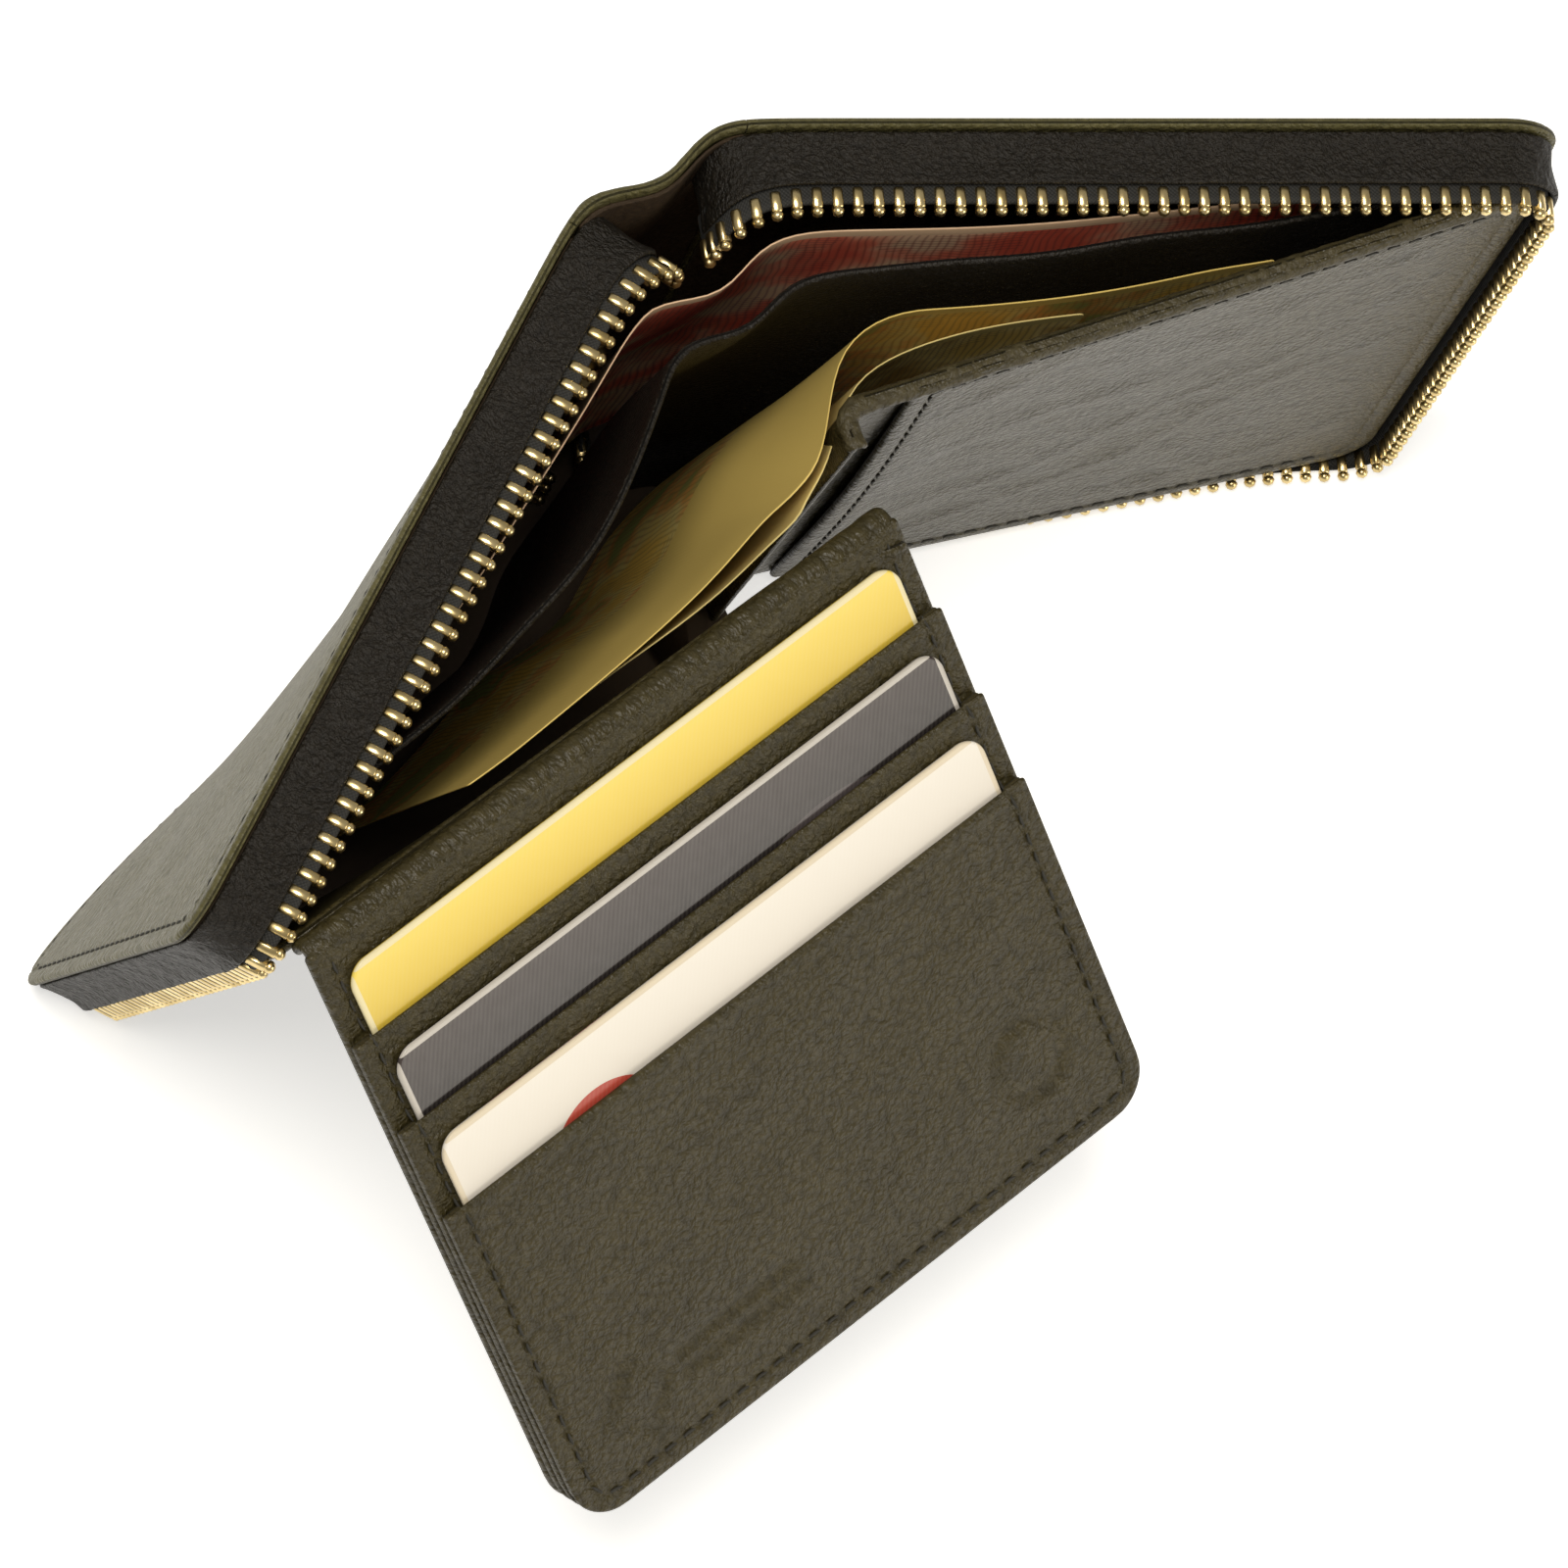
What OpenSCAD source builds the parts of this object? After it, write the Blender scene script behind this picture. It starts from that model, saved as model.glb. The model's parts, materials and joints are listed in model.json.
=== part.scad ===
// Zip-around bifold wallet, standing open like a book on its bottom edges.
// +Z up. The right cover lies along +X, the left cover is opened away from it.

/* [Covers] */
// Length of one cover from the spine crease to its free end
cover_length = 104; // [100:0.5:110]
// Height of the covers
cover_height = 96; // [96:0.5:100]
// Corner radius at the free ends
corner_radius = 8; // [6:0.5:12]
// Thickness of the outer leather
leather = 1.2; // [1:0.1:1.4]
// Thickness of the cloth or leather lining
lining = 0.6; // [0.4:0.1:0.8]
// Angle between the covers as they stand
opening_angle = 120; // [115:1:125]

/* [Spine] */
// Thickness of the wallet when it is zipped shut
closed_thickness = 24; // [22:0.5:26]

/* [Zip] */
// Width of the leather gusset that carries the zip
gusset_width = 8; // [7:0.5:9]
// Length of a tooth
tooth_length = 3.7; // [3:0.1:4]
// Distance from one tooth to the next
tooth_pitch = 2.5; // [2:0.1:3]
// Thickness of a tooth along the row
tooth_width = 1.3; // [1:0.1:1.5]

/* [Inner panels] */
// Length of the right pocket panel
right_panel_length = 93.4; // [88:0.2:94]
// Angle of the right pocket panel off its cover
right_panel_angle = 18; // [15:1:20]
// Length of the left panel
left_panel_length = 94.4; // [90:0.2:95]
// Angle of the left panel off its cover
left_panel_angle = 24; // [20:1:26]
// Thickness of an inner panel
panel_thickness = 1.6; // [1.2:0.1:2]

/* [Card flap] */
// Width of the card flap along its hinge
flap_width = 92; // [91:0.5:92]
// Length of the card flap from hinge to free edge
flap_length = 88; // [86:0.5:90]
// Dip of the flap below level
flap_dip = 44; // [38:1:50]
// Distance from one card slot to the next
slot_pitch = 12.5; // [11:0.5:13]
// Distance from the hinge to the first slot edge
first_slot = 13; // [12:0.5:13]
// Thickness of the thin leather of the slots
slot_leather = 0.65; // [0.5:0.05:0.7]

/* [Cards and notes] */
// Width of a card
card_width = 85.6; // [85:0.1:86]
// Height of a card
card_height = 54; // [53:0.1:54]
// Thickness of a card
card_thickness = 0.76; // [0.6:0.02:0.8]
// Height of a banknote
note_height = 65; // [62:1:70]

/* [Hidden] */

// centre of the bounding box in the drafting frame, whose origin is the right crease
origin_shift = [-15.61, 78.49, 0];
arc_steps = 8;
crease_gap = 1.5;
wall = 1.2;
wall_drop = 0.4;
left_heading = 360 - opening_angle;
axis_x = -(closed_thickness / 2) / tan(opening_angle / 2);
left_crease = [
    axis_x * (1 - cos(opening_angle)) - closed_thickness / 2 * sin(opening_angle),
    -closed_thickness / 2 + axis_x * sin(opening_angle) - closed_thickness / 2 * cos(opening_angle)
];
hinge_inset = 3.6;
right_hinge_depth = 7.5;
left_hinge_depth = 10.8;
panel_corner = 6;
panel_low = 3.2;
panel_top = 92.8;
half_panel = panel_thickness / 2;
flap_hinge_out = 1.3;
flap_hinge_height = 93.5;
flap_near = 2.3;
flap_corner = 6;
card_radius = 3.18;
card_margin = (flap_width - card_width) / 2;
card_shows = 9;
slip = 0.15;
flap_ply = 0.8;
// underside of each card above the underside of the flap
card_level = [
    for (i = [0:2]) 2 * flap_ply + slip + i * (card_thickness + 2 * slip + slot_leather)
];
note_low = 23;
note_ply = 0.3;
tape_thickness = 0.35;
tooth_depth = 1.4;
tail_centre = [-9.75, -7.3];
tail_heading = 180 + opening_angle / 4;
tail_low = 3;
tail_top = 42;
slider_low = 27;
slider_length = 11;

function arc(c, r, a0, a1) =
    [for (i = [0:arc_steps]) let (a = a0 + (a1 - a0) * i / arc_steps) c + r * [cos(a), sin(a)]];

// outline of a half from the spine along the top, round the free end and back along the bottom
function rim(start, inset, top) = let (r = corner_radius, e = cover_length - r) concat(
    [[start, top - inset]],
    arc([e, top - r], r - inset, 90, 0),
    arc([e, r], r - inset, 0, -90),
    [[start, inset]]
);

function reversed(list) = [for (i = [len(list) - 1:-1:0]) list[i]];

function band(start, near, far, top) = concat(rim(start, near, top), reversed(rim(start, far, top)));

function plate(w, h, near_r, far_r) = concat(
    arc([near_r, near_r], near_r, 180, 270),
    arc([w - near_r, near_r], near_r, 270, 360),
    arc([w - far_r, h - far_r], far_r, 0, 90),
    arc([far_r, h - far_r], far_r, 90, 180)
);

// panel seen from its face, with the two corners next to the free end rounded
function panel_outline(start, end, low, high, r) = concat(
    arc([start + r, low + r], r, 180, 270),
    [[end, low], [end, high]],
    arc([start + r, high - r], r, 90, 180)
);

function bezier(p, t) =
    pow(1 - t, 3) * p[0] + 3 * pow(1 - t, 2) * t * p[1] + 3 * (1 - t) * t * t * p[2] + pow(t, 3) * p[3];

// points along a chain of cubic curves, with the heading at each
function along(p, n) = [for (i = [0:n]) bezier(p, i / n)];

function side(a, b, d) = let (v = b - a, l = norm(v)) d * [-v[1], v[0]] / l;

function offset_line(pts, d) = [
    for (i = [0:len(pts) - 1])
        pts[i] + side(pts[max(i - 1, 0)], pts[min(i + 1, len(pts) - 1)], d)
];

function ribbon(pts, d0, d1) = concat(offset_line(pts, d0), reversed(offset_line(pts, d1)));

// arc length positions on the rim's middle line, for teeth
tooth_inset = 1.8;
run_start = 7;
run_top = cover_height - wall_drop;
turn_r = corner_radius - tooth_inset;
straight = cover_length - corner_radius - run_start;
turn = turn_r * PI / 2;
end_run = run_top - 2 * corner_radius;
row_length = 2 * straight + 2 * turn + end_run;

// [point, outward direction] at a distance along the tooth row
function row_point(s) =
    let (e = cover_length - corner_radius, a = straight, b = a + turn, c = b + end_run, d = c + turn)
    s < a ? [[run_start + s, run_top - tooth_inset], 90]
    : s < b ? let (h = 90 - (s - a) / turn * 90)
        [[e, run_top - corner_radius] + turn_r * [cos(h), sin(h)], h]
    : s < c ? [[cover_length - tooth_inset, run_top - corner_radius - (s - b)], 0]
    : s < d ? let (h = -(s - c) / turn * 90)
        [[e, corner_radius] + turn_r * [cos(h), sin(h)], h]
    : [[e - (s - d), tooth_inset], -90];

function row_edge(s, out) = let (q = row_point(s)) q[0] + out * [cos(q[1]), sin(q[1])];

tooth_count = floor(row_length / tooth_pitch);
web = 0.3;
comb_outer = [
    for (i = [0:tooth_count - 1])
        let (s = (i + 0.5) * tooth_pitch, h = tooth_width / 2)
        for (q = [[-h, web], [-h, tooth_depth / 2], [h, tooth_depth / 2], [h, web]])
            row_edge(s + q[0], q[1])
];
comb_inner = [for (i = [tooth_count - 1:-1:0]) row_edge((i + 0.5) * tooth_pitch, -web)];

module drafting() translate(origin_shift) children();

// a shape in the (along, height) plane becomes a slab between two depths from the outer face
module slab(depth, thickness) translate([0, -depth, 0]) rotate([90, 0, 0])
    linear_extrude(thickness) children();

module right_side() drafting() children();

module left_side() drafting() translate([left_crease[0], left_crease[1], 0])
    rotate([0, 0, left_heading]) mirror([0, 1, 0]) children();

module right_panel() right_side() translate([cover_length - hinge_inset, -right_hinge_depth, 0])
    rotate([0, 0, 180 + right_panel_angle]) children();

module left_panel() left_side() translate([cover_length - hinge_inset, -left_hinge_depth, 0])
    rotate([0, 0, 180 + left_panel_angle]) children();

module flap_frame() left_panel() translate([0, flap_hinge_out, flap_hinge_height])
    rotate([-flap_dip, 0, 0]) children();

module tail_frame() drafting() translate([tail_centre[0], tail_centre[1], 0])
    rotate([0, 0, tail_heading]) children();

module cover_skin() slab(0, leather) polygon(rim(crease_gap, 0, cover_height));

module cover_lining() slab(leather, lining) polygon(rim(crease_gap + 0.7, wall + 0.1, run_top));

module gusset() slab(leather + lining, gusset_width - leather - lining)
    polygon(band(crease_gap + 2.5, 0, wall, run_top));

module zip_tape() slab(gusset_width - 3, 3.3)
    polygon(band(run_start, wall, wall + tape_thickness, run_top));

module zip_teeth() slab(gusset_width + 0.3, tooth_length)
    polygon(concat(comb_outer, comb_inner));

module top_stop() slab(gusset_width + 0.3, 2.6)
    translate([run_start - 1.8, run_top - tooth_inset - 0.7]) square([1.6, tooth_depth]);

module right_cover() color([0.28, 0.26, 0.18]) right_side() cover_skin();
module right_lining() color([0.16, 0.12, 0.08]) right_side() cover_lining();
module right_gusset() color([0.12, 0.11, 0.08]) right_side() gusset();
module right_zip_tape() color([0.08, 0.08, 0.07]) right_side() zip_tape();
module right_zip_teeth() color([0.85, 0.72, 0.42]) right_side() zip_teeth();
module right_top_stop() color([0.85, 0.72, 0.42]) right_side() top_stop();
module left_cover() color([0.28, 0.26, 0.18]) left_side() cover_skin();
module left_lining() color([0.16, 0.12, 0.08]) left_side() cover_lining();
module left_gusset() color([0.12, 0.11, 0.08]) left_side() gusset();
module left_zip_tape() color([0.08, 0.08, 0.07]) left_side() zip_tape();
module left_zip_teeth() color([0.85, 0.72, 0.42]) left_side() zip_teeth();
module left_top_stop() color([0.85, 0.72, 0.42]) left_side() top_stop();

// the spine is one soft strip of leather that bulges between the two creases
spine_bulge = 9;
left_along = [cos(left_heading), sin(left_heading)];
spine_curve = along([
    [crease_gap - 0.2, 0], [-spine_bulge, 0],
    left_crease - spine_bulge * left_along, left_crease + (crease_gap - 0.4) * left_along
], 12);
spine_lining_curve = along([
    [crease_gap + 0.4, 0], [-spine_bulge, 0],
    left_crease - spine_bulge * left_along, left_crease + (crease_gap + 0.3) * left_along
], 12);

module spine_cover() color([0.28, 0.26, 0.18]) drafting()
    linear_extrude(cover_height) polygon(ribbon(spine_curve, 0, leather));

module spine_lining() color([0.16, 0.12, 0.08]) drafting() translate([0, 0, wall])
    linear_extrude(run_top - 2 * wall) polygon(ribbon(spine_lining_curve, leather, leather + lining));

// the zip's closed end: both tapes side by side, sewn inside the spine
module zip_tail_tape() color([0.08, 0.08, 0.07]) tail_frame()
    for (part = [[6, tail_low, 15], [3.2, 15, tail_top - 3], [6, tail_top - 3, tail_top]])
        translate([-part[0], -tape_thickness / 2, part[1]])
            cube([2 * part[0], tape_thickness, part[2] - part[1]]);

module zip_tail_teeth() color([0.85, 0.72, 0.42]) tail_frame() {
    for (i = [0:13]) {
        translate([-2.6, tape_thickness / 2, tail_low + 0.6 + i * tooth_pitch])
            cube([5.2, 0.9, tooth_width]);
        translate([-2.6, -tape_thickness / 2 - 0.9, tail_low + 0.6 + i * tooth_pitch])
            cube([5.2, 0.9, tooth_width]);
    }
}

module zip_bottom_stop() color([0.85, 0.72, 0.42]) tail_frame()
    translate([-3, tape_thickness / 2, tail_top - 2.6]) cube([6, 1.2, 2]);

// two plates joined by a wedge at the mouth, running outside the teeth
slider_half = 4.4;
slider_gap = 1.35;
plate_ply = 0.9;
module slider_body() color([0.8, 0.68, 0.4]) tail_frame() translate([0, 0, slider_low]) {
    for (s = [-1, 1])
        translate([0, s * (slider_gap + plate_ply / 2), 0]) rotate([90, 0, 0])
            translate([-slider_half, 0, -plate_ply / 2]) linear_extrude(plate_ply)
                polygon(plate(2 * slider_half, slider_length, 2, 2));
    for (s = [-1, 1])
        translate([s * (slider_half - 0.5) - 0.5, -slider_gap - plate_ply, 2.5])
            cube([1, 2 * (slider_gap + plate_ply), slider_length - 5]);
}

bridge_low = 3.2;
bridge_out = 2.6;
module slider_bridge() color([0.8, 0.68, 0.4]) tail_frame()
    translate([-0.9, slider_gap + plate_ply, slider_low]) {
        translate([0, 0, bridge_low - 1]) cube([1.8, bridge_out, 1]);
        translate([0, 0, bridge_low + 3.6]) cube([1.8, bridge_out, 1]);
        translate([0, bridge_out - 0.7, bridge_low]) cube([1.8, 0.7, 3.6]);
    }

// a flat pull with a window that hangs on the bridge
tab_length = 22;
tab_top = slider_low + bridge_low + 1.7;
module pull_tab() color([0.8, 0.68, 0.4]) tail_frame()
    translate([0, slider_gap + plate_ply + 0.3, tab_top]) rotate([-90, 0, 0])
        linear_extrude(1.3) difference() {
            translate([-3.5, -1.5]) polygon(plate(7, tab_length, 1.4, 3.3));
            translate([-1.6, -0.4]) square([3.2, 4.4]);
        }

panel_height = panel_top - panel_low;
// a sheet of an inner panel between two levels of its thickness
module panel_sheet(low, high) translate([0, high, 0]) rotate([90, 0, 0])
    linear_extrude(high - low) children();

module panel_edge(low, high, end) translate([panel_corner, low, panel_top - 1])
    cube([end - panel_corner, high - low, 1]);

// slip pocket: a backing panel and a face panel open towards the spine
pocket_slit = 0.1;
module right_pocket_back() color([0.2, 0.18, 0.12]) right_panel()
    panel_sheet(-half_panel, -pocket_slit)
        polygon(panel_outline(0, right_panel_length, panel_low, panel_top - 1, panel_corner));

module right_pocket_face() color([0.3, 0.28, 0.2]) right_panel()
    panel_sheet(pocket_slit, half_panel)
        polygon(panel_outline(0.4, right_panel_length - 9, panel_low, panel_top - 1, panel_corner));

module right_pocket_piping() color([0.26, 0.24, 0.17]) right_panel()
    panel_edge(-half_panel, half_panel, right_panel_length);

strip_length = 6.5;
module inner_spine_strip() color([0.3, 0.28, 0.2]) right_panel()
    translate([right_panel_length + 0.1, -half_panel, panel_low])
        cube([panel_thickness, strip_length, panel_height]);

module left_panel_outline()
    polygon(panel_outline(0, left_panel_length, panel_low, panel_top - 1, panel_corner));

module left_panel_face() color([0.3, 0.28, 0.2]) left_panel()
    panel_sheet(0, half_panel) left_panel_outline();

module left_panel_back() color([0.16, 0.12, 0.08]) left_panel()
    panel_sheet(-half_panel, 0) left_panel_outline();

module left_panel_edge() color([0.26, 0.24, 0.17]) left_panel()
    panel_edge(-half_panel, half_panel, left_panel_length);

module flap_outline() polygon(plate(flap_width, flap_length, 0.6, flap_corner));

module flap_back() color([0.18, 0.16, 0.11]) flap_frame() translate([flap_near, 0, 0])
    linear_extrude(flap_ply) flap_outline();

module flap_base() color([0.3, 0.28, 0.2]) flap_frame() translate([flap_near, 0, flap_ply])
    linear_extrude(flap_ply) flap_outline();

// a slot is a face sheet over a frame that closes its two sides and its bottom
module slot_sheet(i) {
    edge = first_slot + i * slot_pitch;
    low = i == 0 ? 2 * flap_ply : card_level[i] - slip;
    bottom = edge - card_shows + card_height + 0.3;
    face = card_level[i] + card_thickness + slip;
    translate([flap_near, 0, low]) linear_extrude(face - low) difference() {
        intersection() {
            flap_outline();
            translate([0, edge]) square([flap_width, flap_length]);
        }
        translate([card_margin - slip, edge - 1])
            square([card_width + 2 * slip, bottom - edge + 1]);
    }
    translate([flap_near, 0, face]) linear_extrude(slot_leather) intersection() {
        flap_outline();
        translate([0, edge]) square([flap_width, flap_length]);
    }
}

module card_slot_top() color([0.3, 0.28, 0.2]) flap_frame() slot_sheet(0);
module card_slot_middle() color([0.3, 0.28, 0.2]) flap_frame() slot_sheet(1);
module card_slot_front() color([0.33, 0.3, 0.22]) flap_frame() slot_sheet(2);

module card(i) flap_frame()
    translate([flap_near + card_margin, first_slot + i * slot_pitch - card_shows, card_level[i]])
        linear_extrude(card_thickness) polygon(plate(card_width, card_height, card_radius, card_radius));

module card_top() color([0.93, 0.8, 0.3]) card(0);
module card_middle() color([0.36, 0.3, 0.3]) card(1);
module card_front() color([0.92, 0.9, 0.86]) card(2);

// sheets that run through the fold, in the drafting frame
divider_curve = concat(
    along([[97, -5], [70, -10], [35, -13], [14, -15]], 8),
    along([[14, -15], [-4, -17], [-8, -22], [-10.5, -30]], 6),
    along([[-10.5, -30], [-15, -48], [-24, -62], [-63, -93]], 8)
);
rear_curve = concat(
    along([[76, -4.6], [55, -7.5], [32, -9], [12, -9.5]], 6),
    along([[12, -9.5], [-3, -10], [-8, -14], [-12, -20]], 6),
    along([[-12, -20], [-20, -35], [-30, -52], [-46, -74]], 6)
);
front_curve = concat(
    along([[68, -14.5], [50, -18], [34, -20], [20, -21]], 6),
    along([[20, -21], [8, -22], [2, -30], [-2, -42]], 6),
    along([[-2, -42], [-8, -56], [-20, -68], [-39, -84]], 6)
);
inner_curve = along([[44, -21.5], [24, -24], [10, -30], [5, -44]], 10);

module sheet(curve, low, height, ply) drafting() translate([0, 0, low])
    linear_extrude(height) polygon(ribbon([for (i = [0:len(curve) - 1])
        if (i == 0 || norm(curve[i] - curve[max(i - 1, 0)]) > 0.01) curve[i]], -ply / 2, ply / 2));

module note_divider() color([0.14, 0.13, 0.1]) sheet(divider_curve, panel_low + 1, 86, 0.8);
module rear_note() color([0.72, 0.36, 0.3]) sheet(rear_curve, note_low, note_height, note_ply);
module front_note() color([0.8, 0.66, 0.3]) sheet(front_curve, note_low - 2, note_height, note_ply);
module inner_note() color([0.78, 0.64, 0.36]) sheet(inner_curve, note_low - 6, note_height, note_ply);

right_cover();
right_lining();
right_gusset();
right_zip_tape();
right_zip_teeth();
right_top_stop();
spine_cover();
spine_lining();
left_cover();
left_lining();
left_gusset();
left_zip_tape();
left_zip_teeth();
left_top_stop();
zip_tail_tape();
zip_tail_teeth();
zip_bottom_stop();
slider_body();
slider_bridge();
pull_tab();
right_pocket_back();
right_pocket_face();
right_pocket_piping();
inner_spine_strip();
left_panel_face();
left_panel_back();
left_panel_edge();
flap_back();
flap_base();
card_slot_top();
card_slot_middle();
card_slot_front();
card_top();
card_middle();
card_front();
note_divider();
rear_note();
front_note();
inner_note();
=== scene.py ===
"""A zip-around leather wallet standing open like a book, with a card flap, slip pocket and notes.

Every length in this file is in millimetres until a mesh is written, which is in metres.
"""

import json
import logging
import math
from dataclasses import dataclass
from enum import Enum
from typing import Any, Callable, Optional, Sequence, Union

import bmesh
import bpy
import numpy as np
from mathutils import Matrix

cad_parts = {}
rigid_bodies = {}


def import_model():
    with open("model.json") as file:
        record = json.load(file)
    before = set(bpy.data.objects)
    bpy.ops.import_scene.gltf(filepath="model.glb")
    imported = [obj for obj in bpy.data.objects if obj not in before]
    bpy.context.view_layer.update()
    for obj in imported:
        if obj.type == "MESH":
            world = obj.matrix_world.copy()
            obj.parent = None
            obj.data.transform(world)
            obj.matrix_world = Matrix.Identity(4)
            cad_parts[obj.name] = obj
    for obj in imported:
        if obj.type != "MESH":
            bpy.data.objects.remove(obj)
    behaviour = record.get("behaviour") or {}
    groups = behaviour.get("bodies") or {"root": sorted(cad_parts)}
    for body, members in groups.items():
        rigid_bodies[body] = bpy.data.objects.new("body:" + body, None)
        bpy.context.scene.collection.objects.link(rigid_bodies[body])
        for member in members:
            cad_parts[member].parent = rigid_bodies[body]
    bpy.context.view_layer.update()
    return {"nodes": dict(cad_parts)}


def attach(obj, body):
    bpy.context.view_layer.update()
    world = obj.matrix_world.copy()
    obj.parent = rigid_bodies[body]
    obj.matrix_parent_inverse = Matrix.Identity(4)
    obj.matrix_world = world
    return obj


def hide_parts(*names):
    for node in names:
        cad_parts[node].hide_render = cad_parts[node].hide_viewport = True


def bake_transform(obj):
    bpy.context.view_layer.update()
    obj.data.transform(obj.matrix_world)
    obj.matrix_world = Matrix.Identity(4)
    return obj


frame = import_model()

LOG = logging.getLogger("wallet")
MM = 0.001
UV_PER_MM = 0.01

Points = np.ndarray
Place = Callable[[Points, Points, Points], Points]
Relief = Callable[[Points, Points, Points], Points]

# ---------------------------------------------------------------- the wallet's main sizes
COVER_LENGTH = 104.0
COVER_HEIGHT = 96.0
CORNER = 8.0
LEATHER = 1.2
LINING = 0.6
RIM_TOP = 95.6
TOOTH_INSET = 1.8
TOOTH_LOW = 8.3
TOOTH_LENGTH = 3.7
TOOTH_PITCH = 2.5
PANEL_LOW = 3.2
PANEL_TOP = 92.8
FLAP_WIDTH = 92.0
FLAP_LENGTH = 88.0
FLAP_NEAR = 2.3
FLAP_CORNER = 6.0
FLAP_PLY = 0.8
FIRST_SLOT = 13.0
SLOT_PITCH = 12.5
SLOT_LEATHER = 0.65
CARD_WIDTH = 85.6
CARD_HEIGHT = 54.0
CARD_THICKNESS = 0.76
CARD_CORNER = 3.18
CARD_SHOWS = 9.0
CARD_GAP = 0.15
LEFT_CREASE = (-20.785, -12.0)
STITCH_INSET = 2.7
STITCH_SPACING = 2.9
FLAP_DIP = 44.0
HINGE_OUT = 1.3
HINGE_LEVEL = 93.5
NOTE_HEIGHT = 65.0
LEFT_HEADING = 240.0
LEAD = np.array([-0.5, -math.sqrt(0.75)])


class Body(str, Enum):
    """The bodies that pieces ride on."""

    RIGHT = "right_half"
    LEFT = "left_half"
    POCKET = "right_pocket"
    PANEL = "left_panel"
    FLAP = "card_flap"
    CARD_TOP = "card_top"
    CARD_MIDDLE = "card_middle"
    CARD_FRONT = "card_front"


@dataclass(frozen=True)
class Space:
    """A set of axes that a sub-assembly is drawn in.

    Args:
        origin: Where its zero lies, in millimetres.
        first: Direction of its first axis.
        second: Direction of its second axis.
        third: Direction of its third axis.
    """

    origin: tuple[float, float, float]
    first: tuple[float, float, float]
    second: tuple[float, float, float]
    third: tuple[float, float, float]

    def at(self, a: Any, b: Any, c: Any) -> Points:
        """Points of the whole wallet for coordinates in this space.

        Args:
            a: Distance along the first axis.
            b: Distance along the second axis.
            c: Distance along the third axis.

        Returns:
            An array of points, one row each.
        """
        a, b, c = np.broadcast_arrays(np.asarray(a, float), np.asarray(b, float), np.asarray(c, float))
        axes = [np.array(v) for v in (self.first, self.second, self.third)]
        spread = a[..., None] * axes[0] + b[..., None] * axes[1] + c[..., None] * axes[2]
        return np.array(self.origin) + spread

    def local(self, points: Points) -> Points:
        """Coordinates in this space of points of the whole wallet."""
        return (points - np.array(self.origin)) @ np.array([self.first, self.second, self.third]).T


def turned(origin: Sequence[float], degrees: float) -> Space:
    """A space whose first axis is turned by an angle about the vertical, with its second at its left."""
    a = math.radians(degrees)
    first = (math.cos(a), math.sin(a), 0.0)
    second = (-math.sin(a), math.cos(a), 0.0)
    return Space(tuple(origin), first, second, (0.0, 0.0, 1.0))


SHIFT = (-15.61, 78.49)
DRAFT = Space((SHIFT[0], SHIFT[1], 0.0), (1, 0, 0), (0, 1, 0), (0, 0, 1))
RIGHT = Space((SHIFT[0], SHIFT[1], 0.0), (1, 0, 0), (0, -1, 0), (0, 0, 1))
LEFT = turned((SHIFT[0] + LEFT_CREASE[0], SHIFT[1] + LEFT_CREASE[1], 0.0), LEFT_HEADING)
POCKET = turned(tuple(RIGHT.at(100.4, 7.5, 0.0)), 198.0)
PANEL = turned(tuple(LEFT.at(100.4, 10.8, 0.0)), 36.0)
PANEL = Space(PANEL.origin, PANEL.first, tuple(-v for v in PANEL.second), PANEL.third)
TAIL = turned(tuple(DRAFT.at(-9.75, -7.3, 0.0)), 210.0)


def flap_space(dip: float = FLAP_DIP) -> Space:
    """The card flap's own axes: along its hinge, down its length and out of its face."""
    a = math.radians(dip)
    out = np.array(PANEL.second)
    up = np.array([0.0, 0.0, 1.0])
    along = tuple(math.cos(a) * out - math.sin(a) * up)
    face = tuple(math.cos(a) * up + math.sin(a) * out)
    return Space(tuple(PANEL.at(0.0, HINGE_OUT, HINGE_LEVEL)), PANEL.first, along, face)


FLAP = flap_space()


def card_level(i: int) -> float:
    """Height of a card's underside above the underside of the flap."""
    return 2 * FLAP_PLY + CARD_GAP + i * (CARD_THICKNESS + 2 * CARD_GAP + SLOT_LEATHER)


def slot_edge(i: int) -> float:
    """Distance of a slot's edge from the hinge."""
    return FIRST_SLOT + i * SLOT_PITCH


def slot_face(i: int) -> float:
    """Height of the underside of a slot's face sheet."""
    return card_level(i) + CARD_THICKNESS + CARD_GAP


# ---------------------------------------------------------------- soft leather shapes
def smooth(value: Points) -> Points:
    """A smooth step from 0 to 1."""
    v = np.clip(value, 0.0, 1.0)
    return v * v * (3.0 - 2.0 * v)


def ripple(x: Points, y: Points, seed: int, size: float, count: int = 7) -> Points:
    """Soft seeded unevenness of a surface.

    Args:
        x: First surface coordinate.
        y: Second surface coordinate.
        seed: Seed of the pattern.
        size: Typical length of a ripple.
        count: How many waves are summed.

    Returns:
        Values between about -1 and 1.
    """
    rng = np.random.default_rng(seed)
    total = np.zeros(np.broadcast(x, y).shape)
    for _ in range(count):
        heading = rng.uniform(0.0, math.pi)
        length = size * rng.uniform(0.6, 1.7)
        phase = rng.uniform(0.0, 2.0 * math.pi)
        total += np.sin((x * math.cos(heading) + y * math.sin(heading)) * 2.0 * math.pi / length + phase)
    return total / math.sqrt(count)


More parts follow.
